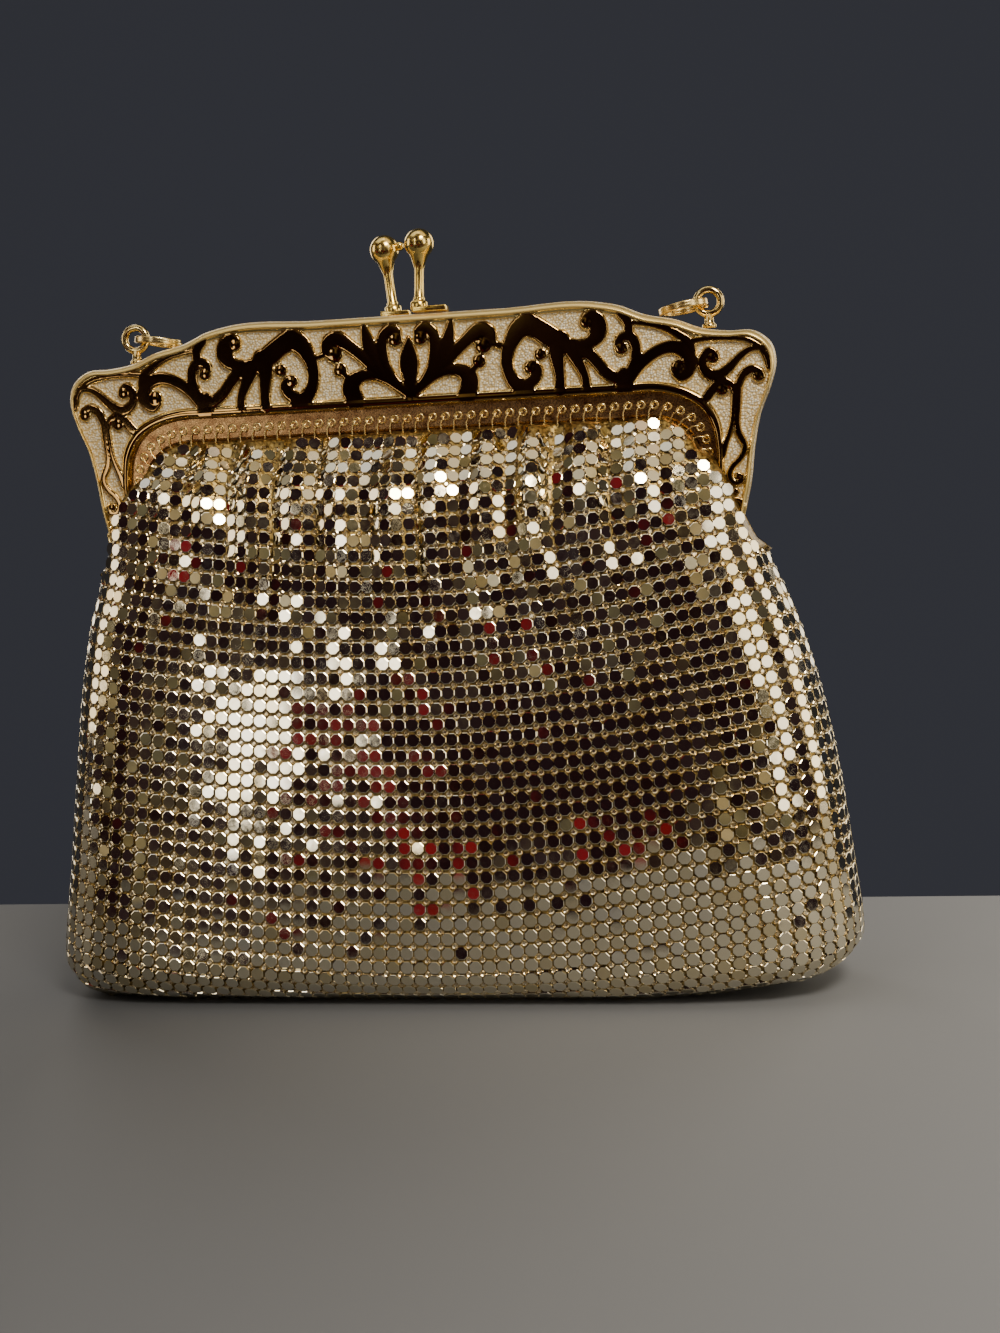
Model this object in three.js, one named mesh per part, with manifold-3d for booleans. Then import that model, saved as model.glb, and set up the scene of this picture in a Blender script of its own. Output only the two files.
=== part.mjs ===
// A metal mesh purse: a hinged cast frame with raised scrollwork, a kiss clasp with two balls,
// two chain eyes with split rings, and a hollow bag of plaque mesh gathered under the frame.
// Millimetres, +Z up, the front faces -Y, and the purse stands on the flat base of its bag.
import * as THREE from "three";
import { mergeVertices } from "three/addons/utils/BufferGeometryUtils.js";
import Module from "manifold-3d";

const wasm = await Module();
wasm.setup();

// Frame sizes. Depths are measured from the parting plane between the two halves.
const HALF_WIDTH = 76;
const FRAME_FOOT = 90.2;
const FRAME_RISE = 54;
const CLEARANCE = 0.3;
const RIM_WIDTH = 1.9;
const RIM_DEPTH = 5.6;
const RIM_SHOULDER = 4.7;
const GROUND_DEPTH = 4.4;
const RELIEF_DEPTH = 5.15;
const STROKE_BREADTH = 1.3;
const STROKE_SWELL = 0.3;
const BORDER_WIDTH = 1.5;
const BORDER_DEPTH = 5.4;
const LEDGE_DEPTH = 3.2;
const LEDGE_THICKNESS = 1;
const FRAME_WALL = 1.3;
const ARM_RECESS = 0.5;
const PARTING = CLEARANCE / 2;

// Row of stitch holes through the ledge.
const HOLE_RADIUS = 0.72;
const HOLE_PITCH = 2.75;
const HOLE_RUN = 63;
const HOLE_SIDES = 4;

// Clasp knobs.
const BALL_RADIUS = 3.1;
const STEM_RADIUS = 1;
const KNOB_HEIGHT = 16.8;
const KNOB_SEAT_THICKNESS = 1.2;
const KNOB_SEAT_DEPTH = 3.6;
const NIB_RADIUS = 1;

// Hinge rivets.
const HINGE_ACROSS = 65.6;
const HINGE_UP = 3;
const KNUCKLE_RADIUS = 2.6;
const RIVET_RADIUS = 1;
const RIVET_HEAD_RADIUS = 1.7;
const RIVET_HEAD_THICKNESS = 0.6;

// Chain eyes and split rings.
const EYE_ACROSS = 62.5;
const EYE_HOLE_RADIUS = 1.7;
const EYE_WIRE = 1.6;
const EYE_POST_HEIGHT = 2.1;
const EYE_POST_RADIUS = 1.1;
const EYE_FOOT_RADIUS = 1.5;
const EYE_FOOT_THICKNESS = 0.8;
const RING_RADIUS = 4.7;
const RING_WIRE = 0.9;
const RING_HEIGHT = 2;

// Mesh bag.
const BAG_HALF_WIDTH = 88;
const NECK_INSET = 4.5;
const NECK_HALF_WIDTH = HALF_WIDTH - NECK_INSET;
const BAG_HALF_DEPTH = 22;
const BAG_WALL = 1.3;
const BAG_CORNER_POWER = 8;
const FOLD_DEPTH = 2.2;
const CORNER_LIFT = 6;
const FLAT_SHARE = 0.85;
const LIFT_REACH = 0.2;
const RIM_DROP_POWER = 3;
const FINE_COLUMNS = 22;

// Table units: shares of the frame's half width in 76ths and of its rise in 54ths.
const ACROSS = HALF_WIDTH / 76;
const UP = FRAME_RISE / 54;

// The frame from the middle of the top (first row) to the hinge end (last row). Each row holds
// the outer edge, the inner edge of the border rib and the lip of the pierced ledge, as
// [across, up] in table units. `open` rows have the hollow channel behind the scrollwork.
const FRAME_ROWS = [
  { outer: [0, 54], border: [0, 34.9], lip: [0, 29.8], open: true },
  { outer: [40, 54], border: [37, 34.9], lip: [36, 29.8], open: true },
  { outer: [44.5, 53], border: [41.5, 34.9], lip: [41, 29.8], open: true },
  { outer: [49.5, 50.9], border: [46, 34.9], lip: [45.5, 29.8], open: true },
  { outer: [56, 49.4], border: [50.5, 34.9], lip: [50, 29.8], open: true },
  { outer: [61.5, 47.3], border: [54.5, 34.2], lip: [53, 29.3], open: true },
  { outer: [67, 46.5], border: [57.6, 33], lip: [55.5, 28.3], open: true },
  { outer: [71.5, 46.3], border: [60, 31.4], lip: [57.3, 26.8], open: true },
  { outer: [75, 43.8], border: [61.8, 29.1], lip: [58.6, 25.2], open: true },
  { outer: [76, 40.4], border: [62.9, 26.4], lip: [59.6, 23.3], open: true },
  { outer: [75, 35.8], border: [63.4, 22.8], lip: [60.1, 21.1], open: true },
  { outer: [72.6, 29.8], border: [63.5, 18.8], lip: [60.3, 18.3], open: true },
  { outer: [71.2, 23.3], border: [63.5, 14.3], lip: [60.5, 14.1], open: false },
  { outer: [70.2, 15.8], border: [63.5, 9.8], lip: [61, 9.8], open: false },
  { outer: [68.6, 8.8], border: [63.5, 5.8], lip: [61.5, 5.8], open: false },
  { outer: [67.3, 3.3], border: [63.8, 2.6], lip: [62, 2.8], open: false },
  { outer: [66.3, 0.1], border: [65, 0.3], lip: [63.5, 0.3], open: false },
];

// Raised strokes of the scrollwork on the right half, in table units: `path` holds [across, up]
// places, `widths` the width at both ends and `ball` the [across, up, radius] of a curl's bead.
const SCROLLS = [
  {
    path: [[5, 39], [4.8, 42], [5.4, 44.5], [5.6, 48.6], [4.3, 50.9], [2.3, 51.4]],
    widths: [1.2, 2],
    ball: [2.4, 48.2, 1.35],
  },
  { path: [[5.3, 42.3], [8.2, 46.1], [9.6, 51.6]], widths: [2.2, 0.5] },
  {
    path: [[4.3, 40], [7.6, 43.2], [11.2, 46.6], [15.4, 50.2], [18.6, 48], [17.6, 45.6]],
    widths: [1.6, 1.5],
    ball: [16, 46.7, 1.3],
  },
  {
    path: [[4.4, 39.4], [8.6, 41.6], [11.4, 41.6], [13.3, 39.8], [12.4, 36.6]],
    widths: [1.4, 1.8],
    ball: [14.8, 43.1, 1.3],
  },
  { path: [[22.9, 37.2], [20.6, 40.8], [20.5, 44.7], [22.1, 48.4], [25, 50.7]], widths: [1.6, 3.4] },
  {
    path: [[25, 50.7], [28.6, 48.8], [33.1, 46], [37, 44.8], [40.3, 46.2], [41.3, 48.8], [40.1, 51]],
    widths: [3.3, 1.6],
    ball: [38.6, 49.6, 1.3],
  },
  { path: [[35.6, 44.8], [37.4, 41.1], [37.4, 36.6]], widths: [1.7, 1.1] },
  {
    path: [[38.7, 44.2], [40.8, 41.3], [43.3, 38.7], [45.9, 39.1], [48.7, 44.5], [47.3, 46.7], [45.2, 46.5]],
    widths: [2, 1.7],
  },
  {
    path: [[46.2, 37.7], [49, 41], [52.3, 43.3], [55.7, 44], [58.4, 42.4], [59, 39.9], [57.6, 37.8]],
    widths: [2.4, 1.9],
    ball: [56.2, 39.2, 1.4],
  },
  {
    path: [[73.6, 41.8], [71.3, 42.6], [68.1, 41], [65.4, 38.7], [63, 37.7], [60.8, 39.1], [60.6, 41.2]],
    widths: [1.2, 1.5],
    ball: [63.1, 41.3, 1.4],
  },
  {
    path: [[63.6, 37.2], [66.8, 33.1], [67, 29.8], [68, 26.5], [68.8, 23.3], [67.5, 20.8]],
    widths: [1.3, 1.2],
  },
  {
    path: [[67.2, 33.6], [68.9, 36.8], [70.9, 38.3], [73, 37.8]],
    widths: [1.2, 1.5],
    ball: [71.8, 36, 1.2],
  },
];
const CENTRE_BUD = { path: [[0, 38.4], [0, 43.8], [0, 48.4]], widths: [3.6, 0.8] };

// The bag from the floor up, at each height share: how far it swells from the neck's width to
// the body's, and its share of the full half depth.
const BAG_ROWS = [
  { up: 0, swell: 0.707, halfDepth: 0.636 },
  { up: 0.025, swell: 0.893, halfDepth: 0.82 },
  { up: 0.07, swell: 1, halfDepth: 0.93 },
  { up: 0.25, swell: 0.867, halfDepth: 1 },
  { up: 0.4, swell: 0.722, halfDepth: 0.965 },
  { up: 0.55, swell: 0.536, halfDepth: 0.895 },
  { up: 0.67, swell: 0.317, halfDepth: 0.82 },
  { up: 0.77, swell: 0.067, halfDepth: 0.735 },
  { up: 0.84, swell: 0, halfDepth: 0.655 },
  { up: 0.9, swell: 0, halfDepth: 0.55 },
  { up: 0.94, swell: 0, halfDepth: 0.415 },
  { up: 0.975, swell: 0, halfDepth: 0.27 },
  { up: 1, swell: 0, halfDepth: 0.191 },
];

// Upper edge of each mesh panel: share of the neck's half width and height in table units. It
// hangs just under the ledge, then passes over the arm and meets the other panel at the side.
const MESH_EDGE = [
  { across: 0, up: 29.4 },
  { across: 0.74, up: 29.4 },
  { across: 0.776, up: 27.8 },
  { across: 0.8, up: 26.2 },
  { across: 0.82, up: 24.6 },
  { across: 0.834, up: 22.8 },
  { across: 0.874, up: 20.7 },
  { across: 0.897, up: 18.3 },
  { across: 0.923, up: 14.3 },
  { across: 0.945, up: 8.8 },
  { across: 0.965, up: 4 },
  { across: 1, up: 1.2 },
];

// Flutes of the gathered mesh: place and half width as shares of the neck's half width, depth as
// a share of the fold depth, and reach down from the edge as a share of the bag's height.
const FOLDS = [
  { centre: -0.62, width: 0.075, depth: 0.5, reach: 0.28 },
  { centre: -0.47, width: 0.08, depth: 0.8, reach: 0.34 },
  { centre: -0.34, width: 0.07, depth: 0.8, reach: 0.38 },
  { centre: -0.21, width: 0.075, depth: 1, reach: 0.42 },
  { centre: -0.06, width: 0.075, depth: 1, reach: 0.45 },
  { centre: 0.075, width: 0.065, depth: 0.9, reach: 0.42 },
  { centre: 0.21, width: 0.075, depth: 1, reach: 0.42 },
  { centre: 0.35, width: 0.07, depth: 0.9, reach: 0.38 },
  { centre: 0.51, width: 0.085, depth: 0.8, reach: 0.34 },
  { centre: 0.67, width: 0.07, depth: 0.5, reach: 0.28 },
];

// Finishes.
const CAST_GOLD = { color: 0xc9a24a, roughness: 0.28, metalness: 1 };
const POLISHED_GOLD = { color: 0xd9b558, roughness: 0.15, metalness: 1 };
const WIRE_GOLD = { color: 0xcaa452, roughness: 0.25, metalness: 1 };
const MESH_GOLD = { color: 0xb89a5e, roughness: 0.3, metalness: 1 };

// Solids

function geometryOf(points, triangles) {
  const geometry = new THREE.BufferGeometry();
  geometry.setAttribute("position", new THREE.Float32BufferAttribute(points.flat(), 3));
  geometry.setIndex(triangles.flat());
  return geometry;
}

function signedVolume(points, triangles) {
  let total = 0;
  for (const [a, b, c] of triangles) {
    const first = new THREE.Vector3(...points[a]);
    const second = new THREE.Vector3(...points[b]);
    const third = new THREE.Vector3(...points[c]);
    total += first.dot(second.cross(third)) / 6;
  }
  return total;
}

function closedGeometry(points, triangles) {
  if (signedVolume(points, triangles) > 0) return geometryOf(points, triangles);
  return geometryOf(points, triangles.map(([a, b, c]) => [a, c, b]));
}

function solidOf(geometry) {
  const bare = geometry.clone();
  bare.deleteAttribute("normal");
  bare.deleteAttribute("uv");
  const merged = mergeVertices(bare, 1e-4);
  const vertProperties = new Float32Array(merged.attributes.position.array);
  const triVerts = new Uint32Array(merged.index.array);
  return new wasm.Manifold(new wasm.Mesh({ numProp: 3, vertProperties, triVerts }));
}

function geometryOfSolid(solid) {
  const mesh = solid.getMesh();
  const geometry = new THREE.BufferGeometry();
  geometry.setAttribute("position", new THREE.BufferAttribute(new Float32Array(mesh.vertProperties), 3));
  geometry.setIndex(new THREE.BufferAttribute(new Uint32Array(mesh.triVerts), 1));
  return geometry;
}

function joined(geometries) {
  return geometries.map(solidOf).reduce((whole, piece) => whole.add(piece));
}

// Triangles of a loft through rings with equally many points, with flat caps at both ends.
function loft(rings, capTriangles) {
  const count = rings[0].length;
  const triangles = [];
  for (let ring = 0; ring + 1 < rings.length; ring += 1) {
    for (let corner = 0; corner < count; corner += 1) {
      const next = (corner + 1) % count;
      const a = ring * count + corner;
      const b = ring * count + next;
      triangles.push([a, b, b + count], [a, b + count, a + count]);
    }
  }
  const last = (rings.length - 1) * count;
  for (const [a, b, c] of capTriangles) {
    triangles.push([a, c, b], [last + a, last + b, last + c]);
  }
  return closedGeometry(rings.flat(), triangles);
}

function interpolated(rows, key, place, value) {
  const last = rows[rows.length - 1];
  if (place >= last[key]) return last[value];
  const upper = rows.findIndex((row) => row[key] > place);
  const low = rows[upper - 1];
  const high = rows[upper];
  const share = (place - low[key]) / (high[key] - low[key]);
  return THREE.MathUtils.lerp(low[value], high[value], share);
}

// Frame

function tablePoint([across, up], side) {
  return new THREE.Vector2(side * across * ACROSS, FRAME_FOOT + up * UP);
}

function stepTowards(from, to, distance) {
  return from.clone().lerp(to, distance / from.distanceTo(to));
}

// Triangles that close the profile at the end of an arm, by the profile's own corners.
const PROFILE_CAP = [
  [0, 1, 12], [1, 11, 12], [1, 2, 11], [2, 3, 11], [3, 10, 11], [3, 4, 10],
  [4, 9, 10], [4, 5, 9], [5, 6, 9], [6, 8, 9], [6, 7, 8],
];

// Profile across the frame at one row: flat [point, depth] pairs round the channel.
function frameProfile(row, side) {
  const outer = tablePoint(row.outer, side);
  const border = tablePoint(row.border, side);
  const lip = tablePoint(row.lip, side);
  const span = outer.distanceTo(border);
  const rim = Math.min(RIM_WIDTH, 0.3 * span);
  const rib = Math.min(BORDER_WIDTH, 0.25 * span);
  const wall = Math.min(FRAME_WALL, 0.2 * span);
  const channelDepth = row.open ? GROUND_DEPTH - FRAME_WALL : PARTING + ARM_RECESS;
  const ledgeBack = row.open ? LEDGE_DEPTH - LEDGE_THICKNESS : PARTING + ARM_RECESS;
  const ribFoot = stepTowards(border, outer, rib);
  const channelEdge = stepTowards(border, outer, rib + 0.2 * wall);
  const wallFace = stepTowards(outer, border, wall);
  return [
    [outer, PARTING],
    [outer, RIM_SHOULDER],
    [stepTowards(outer, border, 0.45 * rim), RIM_DEPTH],
    [stepTowards(outer, border, rim), GROUND_DEPTH],
    [ribFoot, GROUND_DEPTH],
    [stepTowards(border, outer, 0.5 * rib), BORDER_DEPTH],
    [border, LEDGE_DEPTH],
    [lip, LEDGE_DEPTH],
    [lip, LEDGE_DEPTH - LEDGE_THICKNESS],
    [ribFoot, ledgeBack],
    [channelEdge, channelDepth],
    [wallFace, channelDepth],
    [wallFace, PARTING],
  ];
}

function frameStations() {
  const left = FRAME_ROWS.slice(1).reverse().map((row) => frameProfile(row, -1));
  const right = FRAME_ROWS.map((row) => frameProfile(row, 1));
  return [...left, ...right];
}

function frameChannel(facing) {
  const stations = frameStations();
  const rings = stations.map((profile) => profile.map(([point, depth]) => [point.x, facing * depth, point.y]));
  return loft(rings, PROFILE_CAP);
}

// A round bar along the frame's depth, from one depth to another.
function depthBar(place, radius, fromDepth, toDepth, facing, sides) {
  const bar = new THREE.CylinderGeometry(radius, radius, toDepth - fromDepth, sides);
  bar.translate(place.x, (facing * (fromDepth + toDepth)) / 2, place.y);
  return bar;
}

// Middle line of the ledge, and evenly pitched places along it on both sides of the middle.
function ledgeHolePlaces() {
  const middle = FRAME_ROWS.map((row) => tablePoint(row.border, 1).lerp(tablePoint(row.lip, 1), 0.5));
  const line = new THREE.CurvePath();
  for (let index = 0; index + 1 < middle.length; index += 1) {
    line.add(new THREE.LineCurve(middle[index], middle[index + 1]));
  }
  const length = line.getLength();
  const run = HOLE_RUN * ACROSS;
  const places = [];
  for (let distance = HOLE_PITCH / 2; distance < run; distance += HOLE_PITCH) {
    const place = line.getPoint(distance / length);
    places.push(place, new THREE.Vector2(-place.x, place.y));
  }
  return places;
}

// A raised stroke: a ridge with sloping sides along a smooth path.
function scrollStroke({ path, widths }, side, facing) {
  const points = path.map((place) => {
    const flat = tablePoint(place, side);
    return new THREE.Vector3(flat.x, flat.y, 0);
  });
  const curve = new THREE.CatmullRomCurve3(points, false, "centripetal");
  const steps = points.length - 1;
  const rings = [];
  for (let step = 0; step <= steps; step += 1) {
    const share = step / steps;
    const centre = curve.getPoint(share);
    const tangent = curve.getTangent(share);
    const swell = Math.sin(Math.PI * share);
    const width = THREE.MathUtils.lerp(widths[0], widths[1], share) + STROKE_SWELL * swell;
    const half = 0.5 * ACROSS * STROKE_BREADTH * width;
    const normal = [-tangent.y * half, tangent.x * half];
    const base = GROUND_DEPTH - CLEARANCE;
    rings.push([
      [centre.x + normal[0], facing * base, centre.y + normal[1]],
      [centre.x, facing * RELIEF_DEPTH, centre.y],
      [centre.x - normal[0], facing * base, centre.y - normal[1]],
    ]);
  }
  return loft(rings, [[0, 1, 2]]);
}

function scrollBall([across, up, radius], side, facing) {
  const place = tablePoint([across, up], side);
  const foot = GROUND_DEPTH - CLEARANCE;
  const bead = new THREE.CylinderGeometry(0.5 * radius * ACROSS, radius * ACROSS, RELIEF_DEPTH - foot, 5);
  if (facing < 0) bead.rotateX(Math.PI);
  bead.translate(place.x, (facing * (foot + RELIEF_DEPTH)) / 2, place.y);
  return bead;
}

function scrollwork(facing) {
  const pieces = [scrollStroke(CENTRE_BUD, 1, facing)];
  for (const scroll of SCROLLS) {
    for (const side of [-1, 1]) {
      pieces.push(scrollStroke(scroll, side, facing));
      if (scroll.ball) pieces.push(scrollBall(scroll.ball, side, facing));
    }
  }
  return joined(pieces);
}

function frameHalf(facing) {
  const knuckles = [-1, 1].map((side) => {
    const place = tablePoint([HINGE_ACROSS, HINGE_UP], side);
    return depthBar(place, KNUCKLE_RADIUS, PARTING, GROUND_DEPTH, facing, 12);
  });
  const rivetHoles = [-1, 1].map((side) => {
    const place = tablePoint([HINGE_ACROSS, HINGE_UP], side);
    return depthBar(place, RIVET_RADIUS + CLEARANCE, 0, RIM_DEPTH + 1, facing, 10);
  });
  const stitchHoles = ledgeHolePlaces().map((place) => {
    return depthBar(place, HOLE_RADIUS, PARTING, LEDGE_DEPTH + 1, facing, HOLE_SIDES);
  });
  const casting = joined([frameChannel(facing), ...knuckles]).add(scrollwork(facing));
  return geometryOfSolid(casting.subtract(joined([...rivetHoles, ...stitchHoles])));
}

// Height of the frame's outer edge at a distance from the middle.
function shoulderHeight(across) {
  const rows = FRAME_ROWS.slice(0, 8).map((row) => ({ across: row.outer[0] * ACROSS, up: row.outer[1] * UP }));
  return FRAME_FOOT + interpolated(rows, "across", across, "up");
}

// Hinge rivets

function hingeRivet(side) {
  const place = tablePoint([HINGE_ACROSS, HINGE_UP], side);
  const headFoot = RIM_DEPTH + CLEARANCE;
  const headTop = headFoot + RIVET_HEAD_THICKNESS;
  const profile = [
    [0, -headTop],
    [RIVET_HEAD_RADIUS, -headTop],
    [RIVET_HEAD_RADIUS, -headFoot],
    [RIVET_RADIUS, -headFoot],
    [RIVET_RADIUS, headFoot],
    [RIVET_HEAD_RADIUS, headFoot],
    [RIVET_HEAD_RADIUS, headTop],
    [0, headTop],
  ].map(([radius, height]) => new THREE.Vector2(radius, height));
  const rivet = new THREE.LatheGeometry(profile, 8);
  rivet.translate(place.x, 0, place.y);
  return rivet;
}

// Clasp

function knobProfile() {
  const centre = KNOB_HEIGHT - BALL_RADIUS;
  const taper = centre - 1.6 * BALL_RADIUS;
  return [
    [0, 0],
    [1.8 * STEM_RADIUS, 0],
    [1.8 * STEM_RADIUS, KNOB_SEAT_THICKNESS + 1],
    [STEM_RADIUS, KNOB_SEAT_THICKNESS + 1.6],
    [STEM_RADIUS, taper],
    [0.62 * BALL_RADIUS, centre - 0.98 * BALL_RADIUS],
    [0.93 * BALL_RADIUS, centre - 0.4 * BALL_RADIUS],
    [BALL_RADIUS, centre + 0.1 * BALL_RADIUS],
    [0.8 * BALL_RADIUS, centre + 0.62 * BALL_RADIUS],
    [0.42 * BALL_RADIUS, centre + 0.92 * BALL_RADIUS],
    [0, centre + BALL_RADIUS],
  ].map(([radius, height]) => new THREE.Vector2(radius, height));
}

// `foot` is the stem's place across, `lean` how far the ball leans sideways over its height, and
// `seat` the two ends of the plate across, all in table units.
const KNOBS = {
  front: { foot: 2.2, lean: 0.7, seat: [0.9, 8.3], facing: -1, nib: 0 },
  back: { foot: -4.3, lean: -1.4, seat: [-6.9, -0.6], facing: 1, nib: 1 },
};

function claspKnob({ foot, lean, seat, facing, nib }) {
  const height = FRAME_FOOT + FRAME_RISE + CLEARANCE;
  const depth = (facing * (PARTING + RIM_SHOULDER)) / 2;
  const turn = Math.atan2(lean * ACROSS, KNOB_HEIGHT - BALL_RADIUS);
  const ball = new THREE.LatheGeometry(knobProfile(), 10);
  ball.rotateX(Math.PI / 2);
  ball.rotateY(turn);
  ball.translate(foot * ACROSS, depth, height + KNOB_SEAT_THICKNESS / 2);
  const plate = new THREE.BoxGeometry((seat[1] - seat[0]) * ACROSS, KNOB_SEAT_DEPTH, KNOB_SEAT_THICKNESS);
  plate.translate(((seat[0] + seat[1]) / 2) * ACROSS, depth, height + KNOB_SEAT_THICKNESS / 2);
  const pieces = [ball, plate];
  if (nib) {
    const catchNib = new THREE.SphereGeometry(NIB_RADIUS, 6, 4);
    const reach = BALL_RADIUS + 0.35 * NIB_RADIUS;
    const level = height + KNOB_HEIGHT - BALL_RADIUS + NIB_RADIUS;
    catchNib.translate((foot + lean) * ACROSS + reach, depth - facing * 0.5 * NIB_RADIUS, level);
    pieces.push(catchNib);
  }
  return geometryOfSolid(joined(pieces));
}

// Chain eyes and split rings stand on the back half, which stays still when the purse opens.

function eyePlace(side) {
  const across = EYE_ACROSS * ACROSS;
  const foot = shoulderHeight(across - EYE_FOOT_RADIUS) + CLEARANCE;
  const centre = foot + EYE_POST_HEIGHT + EYE_WIRE + EYE_HOLE_RADIUS;
  return { x: side * across, y: (PARTING + RIM_SHOULDER) / 2, foot, centre };
}

function chainEye(side) {
  const { x, y, foot, centre } = eyePlace(side);
  const loop = new THREE.TorusGeometry(EYE_HOLE_RADIUS + EYE_WIRE / 2, EYE_WIRE / 2, 5, 12);
  loop.rotateX(Math.PI / 2);
  loop.translate(x, y, centre);
  const postTop = centre - EYE_HOLE_RADIUS - EYE_WIRE / 2;
  const post = new THREE.CylinderGeometry(EYE_POST_RADIUS, EYE_POST_RADIUS, postTop - foot, 8);
  post.rotateX(Math.PI / 2);
  post.translate(x, y, (foot + postTop) / 2);
  const flange = new THREE.CylinderGeometry(EYE_FOOT_RADIUS, EYE_FOOT_RADIUS, EYE_FOOT_THICKNESS, 8);
  flange.rotateX(Math.PI / 2);
  flange.translate(x, y, foot + EYE_FOOT_THICKNESS / 2);
  return geometryOfSolid(joined([loop, post, flange]));
}

function splitRing(side) {
  const eye = eyePlace(side);
  const radius = RING_RADIUS - RING_WIRE / 2;
  const outerEnd = Math.abs(eye.x) - 0.3 * EYE_HOLE_RADIUS;
  const innerEnd = outerEnd - 2 * RING_RADIUS;
  const outerLevel = eye.centre - EYE_HOLE_RADIUS + CLEARANCE + RING_HEIGHT / 2 + 0.25;
  const innerLevel = shoulderHeight(innerEnd) + CLEARANCE + RING_HEIGHT / 2;
  const section = [
    [radius, -RING_HEIGHT / 2],
    [radius + RING_WIRE, -RING_HEIGHT / 2],
    [radius + RING_WIRE, RING_HEIGHT / 2],
    [radius, RING_HEIGHT / 2],
    [radius, -RING_HEIGHT / 2],
  ].map(([across, height]) => new THREE.Vector2(across, height));
  const ring = new THREE.LatheGeometry(section, 16);
  ring.rotateX(Math.PI / 2);
  ring.rotateY(-side * Math.atan2(outerLevel - innerLevel, 2 * RING_RADIUS));
  ring.translate(side * (outerEnd - RING_RADIUS), eye.y, (outerLevel + innerLevel) / 2);
  return ring;
}

// Mesh bag

function edgeHeight(share) {
  return FRAME_FOOT + UP * interpolated(MESH_EDGE, "across", Math.abs(share), "up");
}

function foldSwell(share, up) {
  let swell = 0;
  for (const fold of FOLDS) {
    const away = Math.abs(share - fold.centre) / fold.width;
    const rise = THREE.MathUtils.smoothstep(up, 1 - fold.reach, 1 - 0.25 * fold.reach);
    if (away < 1) swell += fold.depth * rise * 0.5 * (1 + Math.cos(Math.PI * away));
  }
  return FOLD_DEPTH * swell;
}

// A point of the bag's wall: `share` runs across from -1 to 1, `up` from the base to the edge.
function bagPoint(share, up, facing, inset) {
  const top = edgeHeight(0);
  const level = up * top - (top - edgeHeight(share)) * up ** RIM_DROP_POWER;
  const bagSwell = interpolated(BAG_ROWS, "up", level / top, "swell");
  const halfWidth = THREE.MathUtils.lerp(NECK_HALF_WIDTH, BAG_HALF_WIDTH, bagSwell) - inset;
  const halfDepth = BAG_HALF_DEPTH * interpolated(BAG_ROWS, "up", level / top, "halfDepth") - inset;
  const roundness = Math.sqrt(Math.max(0, 1 - Math.abs(share) ** BAG_CORNER_POWER));
  const flute = inset ? 0 : foldSwell(-facing * share, up);
  const corner = Math.max(0, Math.abs(share) - FLAT_SHARE) / (1 - FLAT_SHARE);
  const lift = CORNER_LIFT * corner ** 1.5 * Math.max(0, 1 - up / LIFT_REACH);
  const depth = (halfDepth + flute) * roundness;
  return [share * halfWidth, facing * depth, level + lift + inset * (1 - up)];
}

function bagShares(columns) {
  const shares = [];
  for (let column = -columns; column <= columns; column += 1) {
    const even = column / columns;
    shares.push(0.6 * even + 0.4 * Math.sin((Math.PI / 2) * even));
  }
  return shares;
}

// One ring round the bag: the front from left to right, then the back from right to left.
function bagRing(columns, up, inset) {
  const shares = bagShares(columns);
  const front = shares.slice(0, -1).map((share) => bagPoint(share, up, -1, inset));
  const back = shares.slice(1).reverse().map((share) => bagPoint(share, up, 1, inset));
  return [...front, ...back];
}

// Triangles between two rings of which the second has as many points or half as many.
function band(firstStart, firstCount, secondStart, secondCount) {
  const ratio = firstCount / secondCount;
  const triangles = [];
  for (let index = 0; index < secondCount; index += 1) {
    const here = secondStart + index;
    const next = secondStart + ((index + 1) % secondCount);
    for (let part = 0; part < ratio; part += 1) {
      const low = firstStart + index * ratio + part;
      const high = firstStart + ((index * ratio + part + 1) % firstCount);
      triangles.push([low, high, part === 0 && ratio === 2 ? here : next]);
    }
    const middle = firstStart + index * ratio + 1;
    triangles.push(ratio === 2 ? [here, middle, next] : [firstStart + index, next, here]);
  }
  return triangles;
}

// Floor of the bag inside one ring, in strips from front to back.
function floorStrips(start, columns) {
  const count = 4 * columns;
  const front = (index) => start + index;
  const back = (index) => start + ((count - index) % count);
  const triangles = [[front(0), back(1), front(1)]];
  for (let index = 1; index < 2 * columns - 1; index += 1) {
    triangles.push([front(index), back(index), back(index + 1)]);
    triangles.push([front(index), back(index + 1), front(index + 1)]);
  }
  const last = 2 * columns - 1;
  triangles.push([front(last), back(last), front(last + 1)]);
  return triangles;
}

function meshBag() {
  const coarse = Math.round(FINE_COLUMNS / 2);
  const outerRings = BAG_ROWS.map((row) => bagRing(2 * coarse, row.up, 0));
  const innerRings = BAG_ROWS.filter((row, index) => index % 2 === 0 || index === BAG_ROWS.length - 1)
    .map((row) => bagRing(coarse, row.up, BAG_WALL));
  const fine = outerRings[0].length;
  const wide = innerRings[0].length;
  const innerStart = outerRings.length * fine;
  const triangles = [];
  for (let ring = 0; ring + 1 < outerRings.length; ring += 1) {
    triangles.push(...band((ring + 1) * fine, fine, ring * fine, fine));
  }
  const outerTop = (outerRings.length - 1) * fine;
  const innerTop = innerStart + (innerRings.length - 1) * wide;
  triangles.push(...band(outerTop, fine, innerTop, wide).map(([a, b, c]) => [a, c, b]));
  for (let ring = 0; ring + 1 < innerRings.length; ring += 1) {
    triangles.push(...band(innerStart + (ring + 1) * wide, wide, innerStart + ring * wide, wide)
      .map(([a, b, c]) => [a, c, b]));
  }
  triangles.push(...floorStrips(0, 2 * coarse).map(([a, b, c]) => [a, c, b]));
  triangles.push(...floorStrips(innerStart, coarse));
  const points = [...outerRings.flat(), ...innerRings.flat()];
  return closedGeometry(points, triangles);
}

// Assembly

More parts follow.
